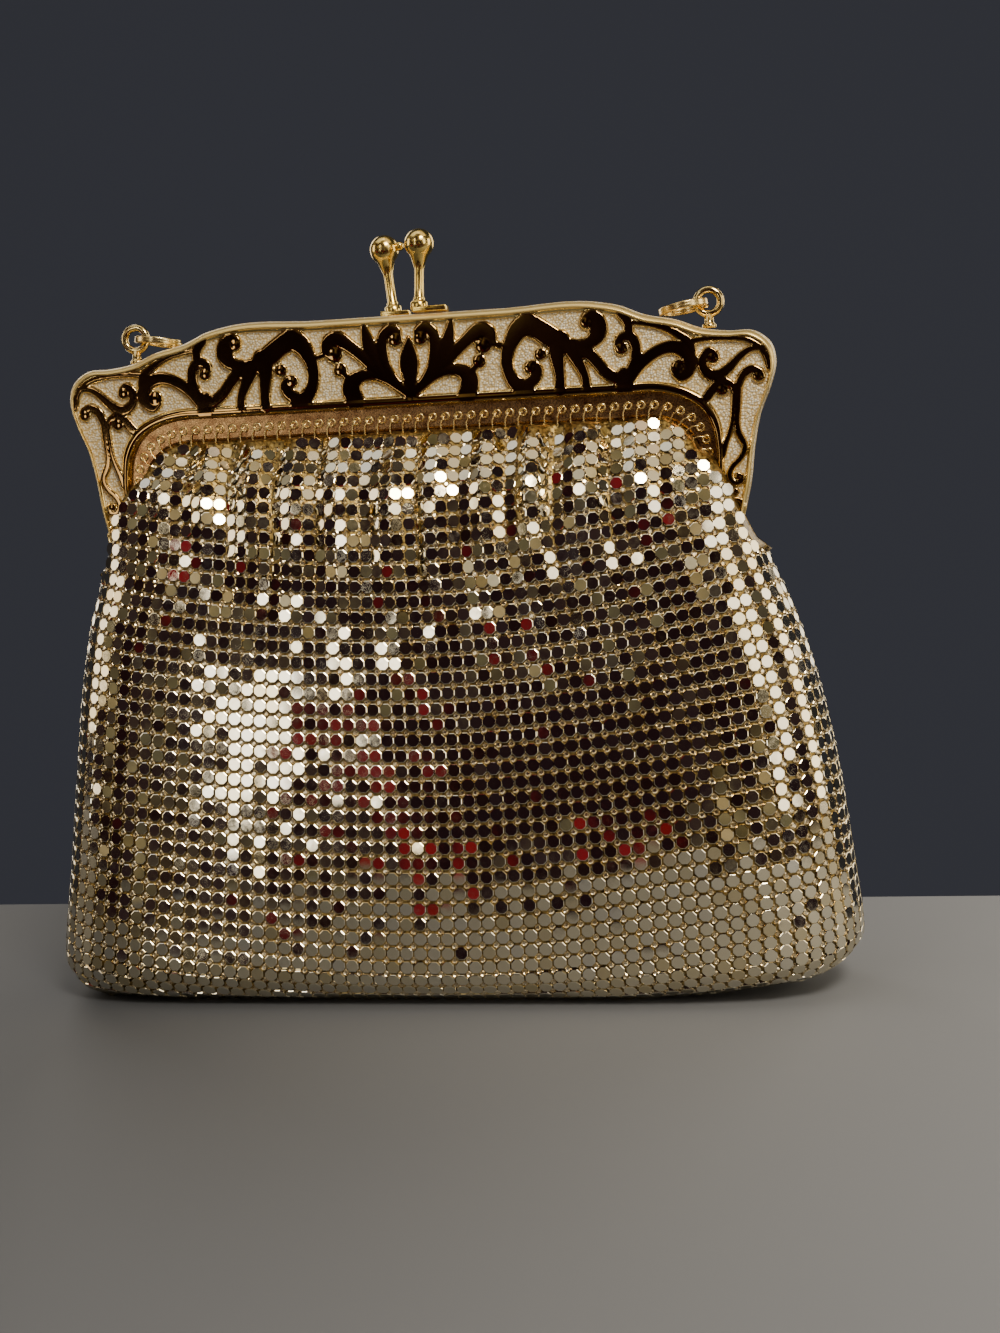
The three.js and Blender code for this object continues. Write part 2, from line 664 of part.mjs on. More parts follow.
function named(name, geometry, finish) {
  const mesh = new THREE.Mesh(geometry, new THREE.MeshStandardMaterial(finish));
  mesh.name = name;
  return mesh;
}

const purse = new THREE.Group();
purse.add(named("frame_front", frameHalf(-1), CAST_GOLD));
purse.add(named("frame_back", frameHalf(1), CAST_GOLD));
purse.add(named("knob_front", claspKnob(KNOBS.front), POLISHED_GOLD));
purse.add(named("knob_back", claspKnob(KNOBS.back), POLISHED_GOLD));
for (const [label, side] of [["left", -1], ["right", 1]]) {
  purse.add(named(`hinge_rivet_${label}`, hingeRivet(side), CAST_GOLD));
  purse.add(named(`chain_eye_${label}`, chainEye(side), CAST_GOLD));
  purse.add(named(`split_ring_${label}`, splitRing(side), WIRE_GOLD));
}
purse.add(named("mesh_bag", meshBag(), MESH_GOLD));

export default purse;
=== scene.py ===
"""A gold-tone metal mesh purse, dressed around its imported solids.

The cast frame gets its full scrollwork over a pebbled ground, the ledge its stitch holes and
wire loops, and the bag its field of chamfered mirror plaques with a link in every gap.
"""

import logging
import math
from collections.abc import Callable, Iterable, Sequence
from dataclasses import dataclass, field
from enum import Enum
from typing import Any

import bmesh
import bpy
import numpy as np
from mathutils import Matrix, Vector

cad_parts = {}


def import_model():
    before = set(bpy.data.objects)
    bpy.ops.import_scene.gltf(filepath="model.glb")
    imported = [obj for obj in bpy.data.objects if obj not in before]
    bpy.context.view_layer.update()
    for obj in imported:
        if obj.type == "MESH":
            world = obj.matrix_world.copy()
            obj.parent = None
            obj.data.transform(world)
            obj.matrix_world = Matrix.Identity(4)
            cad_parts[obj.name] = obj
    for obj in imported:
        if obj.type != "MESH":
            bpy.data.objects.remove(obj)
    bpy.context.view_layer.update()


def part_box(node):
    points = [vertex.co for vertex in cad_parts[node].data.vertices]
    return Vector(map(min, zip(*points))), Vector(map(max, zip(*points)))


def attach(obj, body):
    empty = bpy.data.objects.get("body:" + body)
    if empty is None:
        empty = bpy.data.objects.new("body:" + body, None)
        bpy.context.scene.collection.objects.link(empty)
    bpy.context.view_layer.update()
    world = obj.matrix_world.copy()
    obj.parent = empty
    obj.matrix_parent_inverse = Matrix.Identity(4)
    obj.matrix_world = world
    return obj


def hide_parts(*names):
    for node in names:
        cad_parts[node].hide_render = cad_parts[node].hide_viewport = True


LOG = logging.getLogger("mesh_purse")
MM = 0.001
BODY = "root"

# Table units: shares of the frame's half width in 76ths and of its rise in 54ths.
UNITS_ACROSS = 76
UNITS_UP = 54
LOWEST_UNIT = 0.1


class Slot(Enum):
    """Material slots of the record."""

    CASTING = "frame_casting"
    CLASP = "clasp"
    RIVETS = "rivets"
    RINGS = "rings"
    MESH = "mesh"


class Facing(Enum):
    """Which way a half of the purse faces along Y."""

    FRONT = -1
    BACK = 1


# The frame from the middle of the top to the hinge end, as [across, up] in table units.
OUTER_EDGE = (
    (0, 54), (20, 54), (40, 54), (44.5, 53), (49.5, 50.9), (56, 49.4), (61.5, 47.3), (67, 46.5),
    (71.5, 46.3), (75, 43.8), (76, 40.4), (75, 35.8), (72.6, 29.8), (71.2, 23.3), (70.2, 15.8),
    (68.6, 8.8), (67.3, 3.3), (66.3, 0.1),
)
BORDER_EDGE = (
    (0, 34.9), (18, 34.9), (37, 34.9), (41.5, 34.9), (46, 34.9), (50.5, 34.9), (54.5, 34.2), (57.6, 33),
    (60, 31.4), (61.8, 29.1), (62.9, 26.4), (63.4, 22.8), (63.5, 18.8), (63.5, 14.3), (63.5, 9.8),
    (63.5, 5.8), (63.8, 2.6), (65, 0.3),
)
LEDGE_LIP = (
    (0, 29.8), (17, 29.8), (36, 29.8), (41, 29.8), (45.5, 29.8), (50, 29.8), (53, 29.3), (55.5, 28.3),
    (57.3, 26.8), (58.6, 25.2), (59.6, 23.3), (60.1, 21.1), (60.3, 18.3), (60.5, 14.1), (61, 9.8),
    (61.5, 5.8), (62, 2.8), (63.5, 0.3),
)

# Raised strokes of the scrollwork on one half of the frame: a path as [across, up, width].
STROKES: dict[str, tuple[tuple[float, float, float], ...]] = {
    "bud": ((0, 37.6, 1.6), (0, 40.6, 2.9), (0, 43.8, 3.6), (0, 46.4, 2.7), (0, 48.4, 1.4), (0, 49.2, 0.6)),
    "petal": ((1.0, 38.2, 1.6), (3.2, 40.2, 1.9), (4.8, 42.8, 2.1), (5.6, 45.6, 2.3), (5.7, 48.2, 2.4),
              (5.0, 50.1, 2.3), (3.6, 50.9, 2.2), (2.4, 50.3, 2.1), (2.6, 49.2, 1.8)),
    "leaf": ((4.6, 40.4, 1.8), (6.7, 43.4, 2.6), (7.9, 46.4, 3.0), (8.8, 49.4, 2.3), (9.4, 52.6, 1.0)),
    "branch": ((3.6, 39.6, 1.8), (6.8, 42.6, 2.6), (9.8, 45.5, 2.5), (12.6, 47.9, 2.6), (15.1, 49.6, 3.0),
               (16.9, 49.2, 3.0), (17.3, 47.5, 2.7), (16.2, 46.5, 2.5)),
    "branch_tip": ((17.6, 46.9, 1.5), (19.2, 46.3, 1.4), (21.0, 46.0, 1.5)),
    "arch": ((0.6, 37.4, 1.9), (2.9, 39.0, 1.8), (5.2, 40.7, 2.0), (8, 41.7, 2.1), (10.6, 41.6, 2.6),
             (12.4, 40.4, 3.3), (12.7, 38.6, 3.5), (11.9, 36.2, 3.6)),
    "arch_neck": ((13.0, 41.0, 1.6), (14.5, 42.7, 1.6)),
    "great_back": ((24.4, 37.0, 3.4), (22.2, 38.4, 2.8), (20.9, 41, 2.4), (20.9, 44, 2.5), (21.9, 46.9, 3.0),
                   (23.4, 49.1, 3.7), (25.4, 50.0, 4.1), (27.8, 48.9, 3.8), (30.4, 47, 3.9), (33.2, 45.6, 2.9),
                   (36, 45.3, 2.3), (38.6, 45.9, 2.7), (40, 47.6, 3.3), (39.7, 49.7, 3.5), (38.3, 50.6, 2.9),
                   (37.2, 50.1, 1.8)),
    "great_curl": ((22.2, 38.2, 2.0), (24.4, 37.9, 2.4), (26.3, 38.9, 2.5), (27, 40.6, 2.3), (26.2, 41.7, 2.1),
                   (25.3, 41.5, 1.8)),
    "finger_outer": ((31.8, 46.4, 4.0), (31.3, 43.6, 3.0), (31.5, 41, 2.4), (31.7, 38.6, 2.1), (31.6, 36, 2.2)),
    "finger_inner": ((33.4, 45.6, 2.6), (34.9, 43.2, 2.6), (36, 41, 2.2), (36.9, 38.8, 1.9), (37.2, 36, 1.9)),
    "volute": ((35.0, 44.8, 2.2), (37.6, 43.6, 2.5), (39.5, 41.6, 2.4), (41.2, 39.5, 2.4), (43.4, 38.1, 2.4),
               (45.6, 38.5, 2.3), (47, 40.6, 2.1), (47.7, 43, 2.1), (47.3, 45.4, 2.2), (46, 46.6, 2.1),
               (44.5, 46.1, 2.0), (44.1, 44.8, 1.8)),
    "volute_foot": ((44.9, 38.6, 2.9), (45.1, 36, 3.4)),
    "link_inner": ((44.9, 51.0, 2.0), (46.2, 49.2, 2.0), (46.3, 47, 1.9)),
    "corner_volute": ((45.4, 37.4, 2.8), (47.8, 40.2, 2.5), (50.2, 42.1, 2.4), (52.8, 43.4, 2.4), (55.4, 43.7, 2.5),
                      (57.6, 42.7, 2.7), (58.7, 40.8, 2.7), (58.1, 38.8, 2.6), (56.8, 37.7, 2.1), (55.6, 38.5, 1.7)),
    "shoulder_band": ((47.6, 49.1, 1.1), (51, 48.5, 1.2), (54, 47.5, 1.4), (56.6, 46, 1.7), (58.6, 44.3, 1.9),
                      (59.2, 42.6, 1.6)),
    "corner_band": ((58.8, 44.6, 1.3), (62, 44.9, 1.1), (66, 44.8, 1.0), (70, 44.3, 1.1), (72.5, 42.9, 1.3),
                    (74.0, 40.8, 1.3), (74.5, 38.4, 1.1)),
    "corner_scroll": ((73.4, 42.5, 1.3), (70.8, 42.3, 1.4), (68.7, 41.0, 1.6), (66.6, 39.0, 1.9), (64.6, 37.6, 2.1),
                      (62.7, 37.6, 2.2), (61.3, 39, 2.0), (61.2, 41, 1.9), (62.4, 42.4, 1.7), (63.6, 41.9, 1.5)),
    "curl": ((61.8, 33.2, 2.0), (63.6, 35.3, 1.9), (65.5, 36.1, 1.7), (67, 35.1, 1.5), (67.4, 33.2, 1.2)),
    "cell_side": ((67.4, 33.6, 1.2), (67.1, 30.6, 1.0), (66.8, 28, 1.0), (66.1, 25.6, 1.1), (65.2, 23.4, 1.3),
                  (64.6, 21.2, 1.3)),
    "hook": ((67.5, 32.6, 1.4), (68.2, 35, 1.6), (69.3, 37.3, 1.8), (71, 38.3, 1.8), (72.6, 37.7, 1.6)),
    "trunk": ((68.3, 34.6, 1.4), (68.1, 31, 1.2), (67.8, 28, 1.1), (68.1, 25.8, 1.1), (68.9, 23.9, 1.2),
              (69.1, 22.2, 1.2), (68.1, 20.4, 1.2), (66.6, 18.9, 1.2), (65.8, 17.2, 1.2), (66.5, 15.6, 1.2),
              (68, 15.6, 1.1), (68.3, 16.8, 1.0)),
    "trunk_top": ((67.5, 27.4, 0.9), (67.9, 25.6, 1.2), (68.8, 23.8, 1.3)),
    "arm_comma": ((66.4, 12.2, 1.0), (67.8, 11.8, 1.1), (68.6, 10.2, 1.1), (68.4, 7.8, 1.0), (67.6, 5.6, 0.9)),
}
# Beads in the curls, as [across, up, radius].
BEADS = (
    (2.7, 48.8, 1.5), (16, 46.5, 1.75), (14.9, 43.2, 1.45), (37.7, 49.8, 1.3), (25.6, 41.4, 1.35), (27.9, 43.9, 1.3),
    (44.7, 44.1, 1.35), (56.3, 39.4, 1.65), (63.3, 41.2, 1.3), (72.4, 36.9, 1.25), (64.9, 34.5, 1.3), (67.6, 16.8, 0.85),
    (67, 13.7, 0.75),
)
# Section of the rim from the outer edge inwards, as [distance, depth] in millimetres.
RIM_SECTION = (
    (0, 2.9), (0.09, 3.5), (0.26, 4.08), (0.5, 4.6), (0.8, 5.04), (1.12, 5.36), (1.4, 5.5), (1.6, 5.4),
    (1.72, 5.1), (1.78, 4.84), (2.06, 4.8), (2.2, 4.7), (2.4, 4.42),
)
# Section of the border from the ground to the ledge, as [distance from its inner edge, depth].
BORDER_SECTION = (
    (2.4, 4.42), (2.15, 4.62), (1.85, 4.98), (1.65, 5.12), (1.2, 5.2), (0.7, 5.2), (0.3, 5.12), (0.1, 4.92),
    (0.02, 4.4), (0, 3.4), (-0.2, 3.22),
)

# The bag from the floor up, as [height share, swell from neck to body, half depth share, sway share].
BAG_SECTIONS = (
    (0, 0.707, 0.66, 0.75), (0.025, 0.893, 0.885, 0.78), (0.065, 1, 1, 0.84), (0.11, 0.985, 0.985, 0.9),
    (0.17, 0.94, 0.965, 0.95), (0.25, 0.867, 0.945, 1), (0.4, 0.722, 0.908, 0.97), (0.55, 0.536, 0.852, 0.75),
    (0.67, 0.317, 0.79, 0.45), (0.77, 0.067, 0.715, 0.2), (0.84, 0, 0.64, 0.08), (0.9, 0, 0.545, 0),
    (0.94, 0, 0.415, 0), (0.975, 0, 0.27, 0), (1, 0, 0.191, 0),
)
# Broad swells of the front and back: [across, up, reach, height] in millimetres.
SWELLS = ((8, 30, 15, 0.9), (-58, 48, 16, -0.8), (52, 70, 18, 0.8), (62, 36, 13, 1.5))
# Upper edge of each mesh panel: [share of the neck's half width, height in table units].
MESH_EDGE = (
    (0, 29.4), (0.74, 29.4), (0.776, 27.8), (0.8, 26.2), (0.82, 24.6), (0.834, 22.8), (0.874, 20.7),
    (0.897, 18.3), (0.923, 14.3), (0.945, 8.8), (0.965, 4), (1, 1.2),
)
# Flutes of the gathered mesh: [centre, half width, depth share, reach down].
FOLDS = (
    (-0.62, 0.075, 0.5, 0.28), (-0.47, 0.08, 0.8, 0.34), (-0.34, 0.07, 0.8, 0.38), (-0.21, 0.075, 1, 0.42),
    (-0.06, 0.075, 1, 0.45), (0.075, 0.065, 0.9, 0.42), (0.21, 0.075, 1, 0.42), (0.35, 0.07, 0.9, 0.38),
    (0.51, 0.085, 0.8, 0.34), (0.67, 0.07, 0.5, 0.28),
)


# Numbers and curves


def linear_colour(hex_code: str) -> tuple[float, float, float, float]:
    """Turns an sRGB hex colour to the linear colour that the shaders take.

    Args:
        hex_code: six hex digits, red first.

    Returns:
        Linear red, green, blue and an alpha of 1.
    """
    parts = [int(hex_code[i:i + 2], 16) / 255 for i in (0, 2, 4)]
    red, green, blue = (p / 12.92 if p <= 0.04045 else ((p + 0.055) / 1.055) ** 2.4 for p in parts)
    return red, green, blue, 1.0


def smooth_curve(knots: np.ndarray, values: np.ndarray, places: np.ndarray) -> np.ndarray:
    """Interpolates with a smooth curve that doesn't overshoot its knots.

    Args:
        knots: rising positions of the known values.
        values: the known values, one row for each knot.
        places: where to evaluate.

    Returns:
        The value at each place.
    """
    step = np.diff(knots)
    slope = (np.diff(values, axis=0).T / step).T
    tangent = np.zeros_like(values)
    same = slope[1:] * slope[:-1] > 0
    mean = 2 * slope[1:] * slope[:-1] / np.where(same, slope[1:] + slope[:-1], 1)
    tangent[1:-1] = np.where(same, mean, 0)
    tangent[0] = slope[0]
    tangent[-1] = slope[-1]
    where = np.clip(places, knots[0], knots[-1])
    low = np.clip(np.searchsorted(knots, where, side="right") - 1, 0, len(knots) - 2)
    share = (where - knots[low]) / step[low]
    spread = step[low]
    if values.ndim == 2:
        share = share[:, None]
        spread = spread[:, None]
    square = share * share
    cube = square * share
    return ((2 * cube - 3 * square + 1) * values[low] + (cube - 2 * square + share) * spread * tangent[low]
            + (3 * square - 2 * cube) * values[low + 1] + (cube - square) * spread * tangent[low + 1])


def round_curve(points: np.ndarray, count: int) -> np.ndarray:
    """Samples a Catmull-Rom curve through points.

    Args:
        points: one row for each control point, with any number of columns.
        count: number of samples.

    Returns:
        The samples, evenly spread over the control points' order.
    """
    ends = np.vstack([2 * points[0] - points[1], points, 2 * points[-1] - points[-2]])
    place = np.linspace(0, len(points) - 1, count)
    low = np.minimum(place.astype(int), len(points) - 2)
    t = (place - low)[:, None]
    a, b, c, d = ends[low], ends[low + 1], ends[low + 2], ends[low + 3]
    return 0.5 * (2 * b + (c - a) * t + (2 * a - 5 * b + 4 * c - d) * t ** 2 + (3 * b - a - 3 * c + d) * t ** 3)


def ease(value: np.ndarray, low: float | np.ndarray, high: float | np.ndarray) -> np.ndarray:
    """Smooth step from 0 at low to 1 at high."""
    share = np.clip((value - low) / (high - low), 0, 1)
    return share * share * (3 - 2 * share)


def dome(away: np.ndarray) -> np.ndarray:
    """Half-round profile: 1 in the middle and 0 at a distance of 1."""
    return np.sqrt(np.clip(1 - away * away, 0, 1))


# Pieces


@dataclass
class Piece:
    """A finished object with the body it rides on and the record's slot."""

    name: str
    mesh: bpy.types.Mesh
    material: bpy.types.Material
    slot: Slot
    replaces: tuple[str, ...] = ()
    smooth: bool = True

    def place(self) -> bpy.types.Object:
        """Returns:
            The object that now carries the mesh.
        """
        self.mesh.materials.clear()
        self.mesh.materials.append(self.material)
        self.mesh.polygons.foreach_set("use_smooth", [self.smooth] * len(self.mesh.polygons))
        piece = bpy.data.objects.new(self.name, self.mesh)
        bpy.context.scene.collection.objects.link(piece)
        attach(piece, BODY)
        if self.replaces:
            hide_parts(*self.replaces)
        LOG.info("%s: %d faces", self.name, len(self.mesh.polygons))
        return piece


def mesh_from(bm: bmesh.types.BMesh, name: str) -> bpy.types.Mesh:
    """Writes a bmesh to a new mesh with its normals facing out and frees it."""
    bmesh.ops.recalc_face_normals(bm, faces=bm.faces)
    mesh = bpy.data.meshes.new(name)
    bm.to_mesh(mesh)
    bm.free()
    return mesh


@dataclass
class Template:
    """A small mesh that is repeated many times."""

    points: np.ndarray
    faces: list[tuple[int, ...]]

    @staticmethod
    def of(bm: bmesh.types.BMesh) -> "Template":
        """Reads a bmesh into a template and frees it."""
        bmesh.ops.recalc_face_normals(bm, faces=bm.faces)
        bm.verts.index_update()
        points = np.array([tuple(vert.co) for vert in bm.verts])
        faces = [tuple(vert.index for vert in face.verts) for face in bm.faces]
        bm.free()
        return Template(points, faces)

    def array(self, name: str, places: np.ndarray, frames: np.ndarray,
              tones: dict[str, np.ndarray] | None = None) -> bpy.types.Mesh:
        """Joins one copy at each place into a single mesh.

        Args:
            name: name of the new mesh.
            places: the copies' origins.
            frames: for each copy the three axes as rows.
            tones: point attributes, one value for each copy.

        Returns:
            The joined mesh.
        """
        count = len(self.points)
        points = np.einsum("vk,nkc->nvc", self.points, frames) + places[:, None, :]
        starts = np.arange(len(places)) * count
        faces: list[list[int]] = []
        for face in self.faces:
            faces.extend((starts[:, None] + np.array(face)).tolist())
        mesh = bpy.data.meshes.new(name)
        mesh.from_pydata(points.reshape(-1, 3).tolist(), [], faces)
        for key, values in (tones or {}).items():
            attribute = mesh.attributes.new(key, "FLOAT", "POINT")
            attribute.data.foreach_set("value", np.repeat(values, count).astype(np.float32))
        mesh.update()
        return mesh


def bent_grid(name: str, points: np.ndarray, merge: bool = True,
              attributes: dict[str, np.ndarray] | None = None, uv: np.ndarray | None = None) -> bpy.types.Mesh:
    """Bends a bmesh grid to an array of places and closes its seams.

    Args:
        name: name of the new mesh.
        points: places as rows by columns by 3.
        merge: whether coinciding places are joined and open ends filled.
        attributes: point attributes as rows by columns.
        uv: texture places as rows by columns by 2.

    Returns:
        The bent mesh.
    """
    rows, columns = points.shape[:2]
    bm = bmesh.new()
    bmesh.ops.create_grid(bm, x_segments=rows - 1, y_segments=columns - 1, size=1)
    bm.verts.ensure_lookup_table()
    flat = np.array([tuple(vert.co[:2]) for vert in bm.verts])
    row = np.rint((flat[:, 0] + 1) / 2 * (rows - 1)).astype(int)
    column = np.rint((flat[:, 1] + 1) / 2 * (columns - 1)).astype(int)
    layers = {key: bm.verts.layers.float.new(key) for key in (attributes or {})}
    uv_layer = bm.loops.layers.uv.new("UVMap") if uv is not None else None
    if uv_layer is not None:
        where = {vert.index: (row[i], column[i]) for i, vert in enumerate(bm.verts)}
        for face in bm.faces:
            for loop in face.loops:
                loop[uv_layer].uv = uv[where[loop.vert.index]]
    for i, vert in enumerate(bm.verts):
        vert.co = points[row[i], column[i]]
        for key, layer in layers.items():
            vert[layer] = attributes[key][row[i], column[i]]
    if merge:
        bmesh.ops.remove_doubles(bm, verts=bm.verts, dist=1e-7)
        bmesh.ops.holes_fill(bm, edges=[edge for edge in bm.edges if edge.is_boundary], sides=0)
    return mesh_from(bm, name)


# Finishes


def add_node(tree: bpy.types.NodeTree, kind: str, options: dict[str, Any] | None = None,
             inputs: dict[str | int, Any] | None = None) -> bpy.types.Node:
    """Adds a node with its settings, values and links.

    Args:
        tree: the material's node tree.
        kind: the node's type name.
        options: properties to set on the node.
        inputs: for each input a value, or the output socket that feeds it.

    Returns:
        The new node.
    """
    node = tree.nodes.new(kind)
    for key, value in (options or {}).items():
        setattr(node, key, value)
    for key, value in (inputs or {}).items():
        if isinstance(value, bpy.types.NodeSocket):
            tree.links.new(value, node.inputs[key])
        else:
            node.inputs[key].default_value = value
    return node


def ramp(tree: bpy.types.NodeTree, factor: bpy.types.NodeSocket,
         stops: Sequence[tuple[float, str]]) -> bpy.types.NodeSocket:
    """Adds a colour ramp.

    Args:
        tree: the material's node tree.
        factor: the socket that drives it.
        stops: position and sRGB hex colour of each stop.

    Returns:
        The ramp's colour output.
    """
    node = add_node(tree, "ShaderNodeValToRGB", inputs={"Fac": factor})
    elements = node.color_ramp.elements
    elements[0].position, elements[0].color = stops[0][0], linear_colour(stops[0][1])
    elements[1].position, elements[1].color = stops[-1][0], linear_colour(stops[-1][1])
    for position, colour in stops[1:-1]:
        elements.new(position).color = linear_colour(colour)
    return node.outputs["Color"]


def spread(tree: bpy.types.NodeTree, factor: bpy.types.NodeSocket, low: float, high: float,
           start: float = 0.3, stop: float = 0.7) -> bpy.types.NodeSocket:
    """Maps a pattern from start and stop to low and high."""
    node = add_node(tree, "ShaderNodeMapRange", inputs={
        "Value": factor, "From Min": start, "From Max": stop, "To Min": low, "To Max": high})
    return node.outputs["Result"]


@dataclass(frozen=True)
class Metal:
    """A plated metal: its colours, gloss and the wear that breaks them up."""

    name: str
    light: str
    dark: str
    roughness: tuple[float, float]
    wear_mm: float = 6.0
    scratch_mm: float = 0.5
    scratch_height_mm: float = 0.004

    def base(self) -> tuple[bpy.types.Material, bpy.types.NodeTree, bpy.types.Node, bpy.types.NodeSocket]:
        """Starts the material.

        Returns:
            The material, its tree, the shader and the Object coordinates.
        """
        material = bpy.data.materials.new(self.name)
        material.use_nodes = True
        tree = material.node_tree
        shader = tree.nodes["Principled BSDF"]
        shader.inputs["Metallic"].default_value = 1.0
        coordinates = add_node(tree, "ShaderNodeTexCoord").outputs["Object"]
        return material, tree, shader, coordinates

    def build(self) -> bpy.types.Material:
        """Builds the plain version: blotchy plate with fine rubbing marks.

        Returns:
            The material.
        """
        material, tree, shader, place = self.base()
        wear = add_node(tree, "ShaderNodeTexNoise", inputs={
            "Vector": place, "Scale": 1 / (self.wear_mm * MM), "Detail": 4.0, "Roughness": 0.6}).outputs["Fac"]
        fine = add_node(tree, "ShaderNodeTexNoise", inputs={
            "Vector": place, "Scale": 1 / (self.scratch_mm * MM), "Detail": 3.0}).outputs["Fac"]
        colour = ramp(tree, wear, ((0.3, self.dark), (0.7, self.light)))
        tree.links.new(colour, shader.inputs["Base Color"])
        tree.links.new(spread(tree, fine, *self.roughness), shader.inputs["Roughness"])
        bump = add_node(tree, "ShaderNodeBump", inputs={
            "Height": fine, "Strength": 0.6, "Distance": self.scratch_height_mm * MM})
        tree.links.new(bump.outputs["Normal"], shader.inputs["Normal"])
        return material


@dataclass(frozen=True)
class PebbledCasting(Metal):
    """Gold-plated casting: polished scrolls over a ground stippled with a beading punch."""

    # Colours of the flat stroke tops, darker than the polished gold: a painted dark reflection of the room they
    # mirror.
    painted_crown_light: str = "A88650"
    painted_crown_dark: str = "86643A"
    rim_light: str = "F9DA8C"
    rim_metal: float = 0.75
    ground_light: str = "FFFAE4"
    ground_dark: str = "DDBE80"
    ground_metal: float = 0.15
    grain_mm: float = 0.52
    grain_height_mm: float = 0.2

    @staticmethod
    def _blend(tree: bpy.types.NodeTree, kind: str, share: bpy.types.NodeSocket, low: Any,
               high: Any) -> bpy.types.NodeSocket:
        """Mixes two colours or two numbers by a share.

        Args:
            tree: the material's node tree.
            kind: RGBA or FLOAT.
            share: 0 for the first and 1 for the second.
            low: the first, as a value or a socket.
            high: the second.

        Returns:
            The mixed socket.
        """
        first, second, out = (6, 7, 2) if kind == "RGBA" else (2, 3, 0)
        return add_node(tree, "ShaderNodeMix", {"data_type": kind}, {0: share, first: low, second: high}).outputs[out]

    def build(self) -> bpy.types.Material:
        """Builds the finish from three attributes: relief off the ground, the flat crown of each stroke, given a
        darker colour as a painted reflection of the dark room, and the rolled rim.

        Returns:
            The material.
        """
        material, tree, shader, place = self.base()
        relief, crown, rim = (add_node(tree, "ShaderNodeAttribute", {"attribute_name": name}).outputs["Fac"]
                              for name in ("relief", "crown", "rim"))
        grain = add_node(tree, "ShaderNodeTexVoronoi", {"feature": "F1"}, {
            "Vector": place, "Scale": 1 / (self.grain_mm * MM), "Randomness": 0.85}).outputs["Distance"]
        wear = add_node(tree, "ShaderNodeTexNoise", inputs={
            "Vector": place, "Scale": 1 / (self.wear_mm * MM), "Detail": 4.0}).outputs["Fac"]
        fine = add_node(tree, "ShaderNodeTexNoise", inputs={
            "Vector": place, "Scale": 1 / (self.scratch_mm * MM), "Detail": 3.0}).outputs["Fac"]
        ground = ramp(tree, grain, ((0.15, self.ground_light), (0.62, self.ground_dark)))
        polished = ramp(tree, wear, ((0.3, self.dark), (0.7, self.light)))
        # Painted dark reflection: the flat stroke tops get a darker gold than the polished bevels.
        painted_dark_crowns = ramp(tree, wear, ((0.3, self.painted_crown_dark), (0.7, self.painted_crown_light)))
        raised = self._blend(tree, "RGBA", crown, polished, painted_dark_crowns)
        raised = self._blend(tree, "RGBA", rim, raised, linear_colour(self.rim_light))
        colour = self._blend(tree, "RGBA", relief, ground, raised)
        tree.links.new(colour, shader.inputs["Base Color"])
        shine = self._blend(tree, "FLOAT", rim, spread(tree, fine, *self.roughness), 0.33)
        shine = self._blend(tree, "FLOAT", crown, shine, 0.06)
        tree.links.new(self._blend(tree, "FLOAT", relief, 0.42, shine), shader.inputs["Roughness"])
        metal = self._blend(tree, "FLOAT", rim, 1.0, self.rim_metal)
        tree.links.new(self._blend(tree, "FLOAT", relief, self.ground_metal, metal), shader.inputs["Metallic"])
        rough = add_node(tree, "ShaderNodeMath", {"operation": "SUBTRACT"}, {0: 1.0, 1: relief}).outputs[0]
        height = add_node(tree, "ShaderNodeMath", {"operation": "MULTIPLY"}, {0: grain, 1: rough}).outputs[0]
        stipple = add_node(tree, "ShaderNodeBump", {"invert": True}, {
            "Height": height, "Strength": 1.0, "Distance": self.grain_height_mm * MM})
        rub = add_node(tree, "ShaderNodeBump", inputs={
            "Height": fine, "Strength": 0.5, "Distance": self.scratch_height_mm * MM,
            "Normal": stipple.outputs["Normal"]})
        tree.links.new(rub.outputs["Normal"], shader.inputs["Normal"])
        return material


@dataclass(frozen=True)
class PlaqueMirror(Metal):
    """Bright-rolled plaques: each one takes its own tint from its tone attribute."""

    pale: str = "EAE3D0"

    def build(self) -> bpy.types.Material:
        """Builds the mirror finish with a tone for each plaque.

        Returns:
            The material.
        """
        material, tree, shader, place = self.base()
        tone = add_node(tree, "ShaderNodeAttribute", {"attribute_name": "tone"}).outputs["Fac"]
        smear = add_node(tree, "ShaderNodeTexNoise", inputs={
            "Vector": place, "Scale": 1 / (self.scratch_mm * MM), "Detail": 3.0}).outputs["Fac"]
        tint = ramp(tree, tone, ((0.0, self.dark), (0.25, self.light), (0.75, self.light), (1.0, self.pale)))
        tree.links.new(tint, shader.inputs["Base Color"])
        tree.links.new(spread(tree, smear, *self.roughness), shader.inputs["Roughness"])
        bump = add_node(tree, "ShaderNodeBump", inputs={
            "Height": smear, "Strength": 0.5, "Distance": self.scratch_height_mm * MM})
        tree.links.new(bump.outputs["Normal"], shader.inputs["Normal"])
        return material


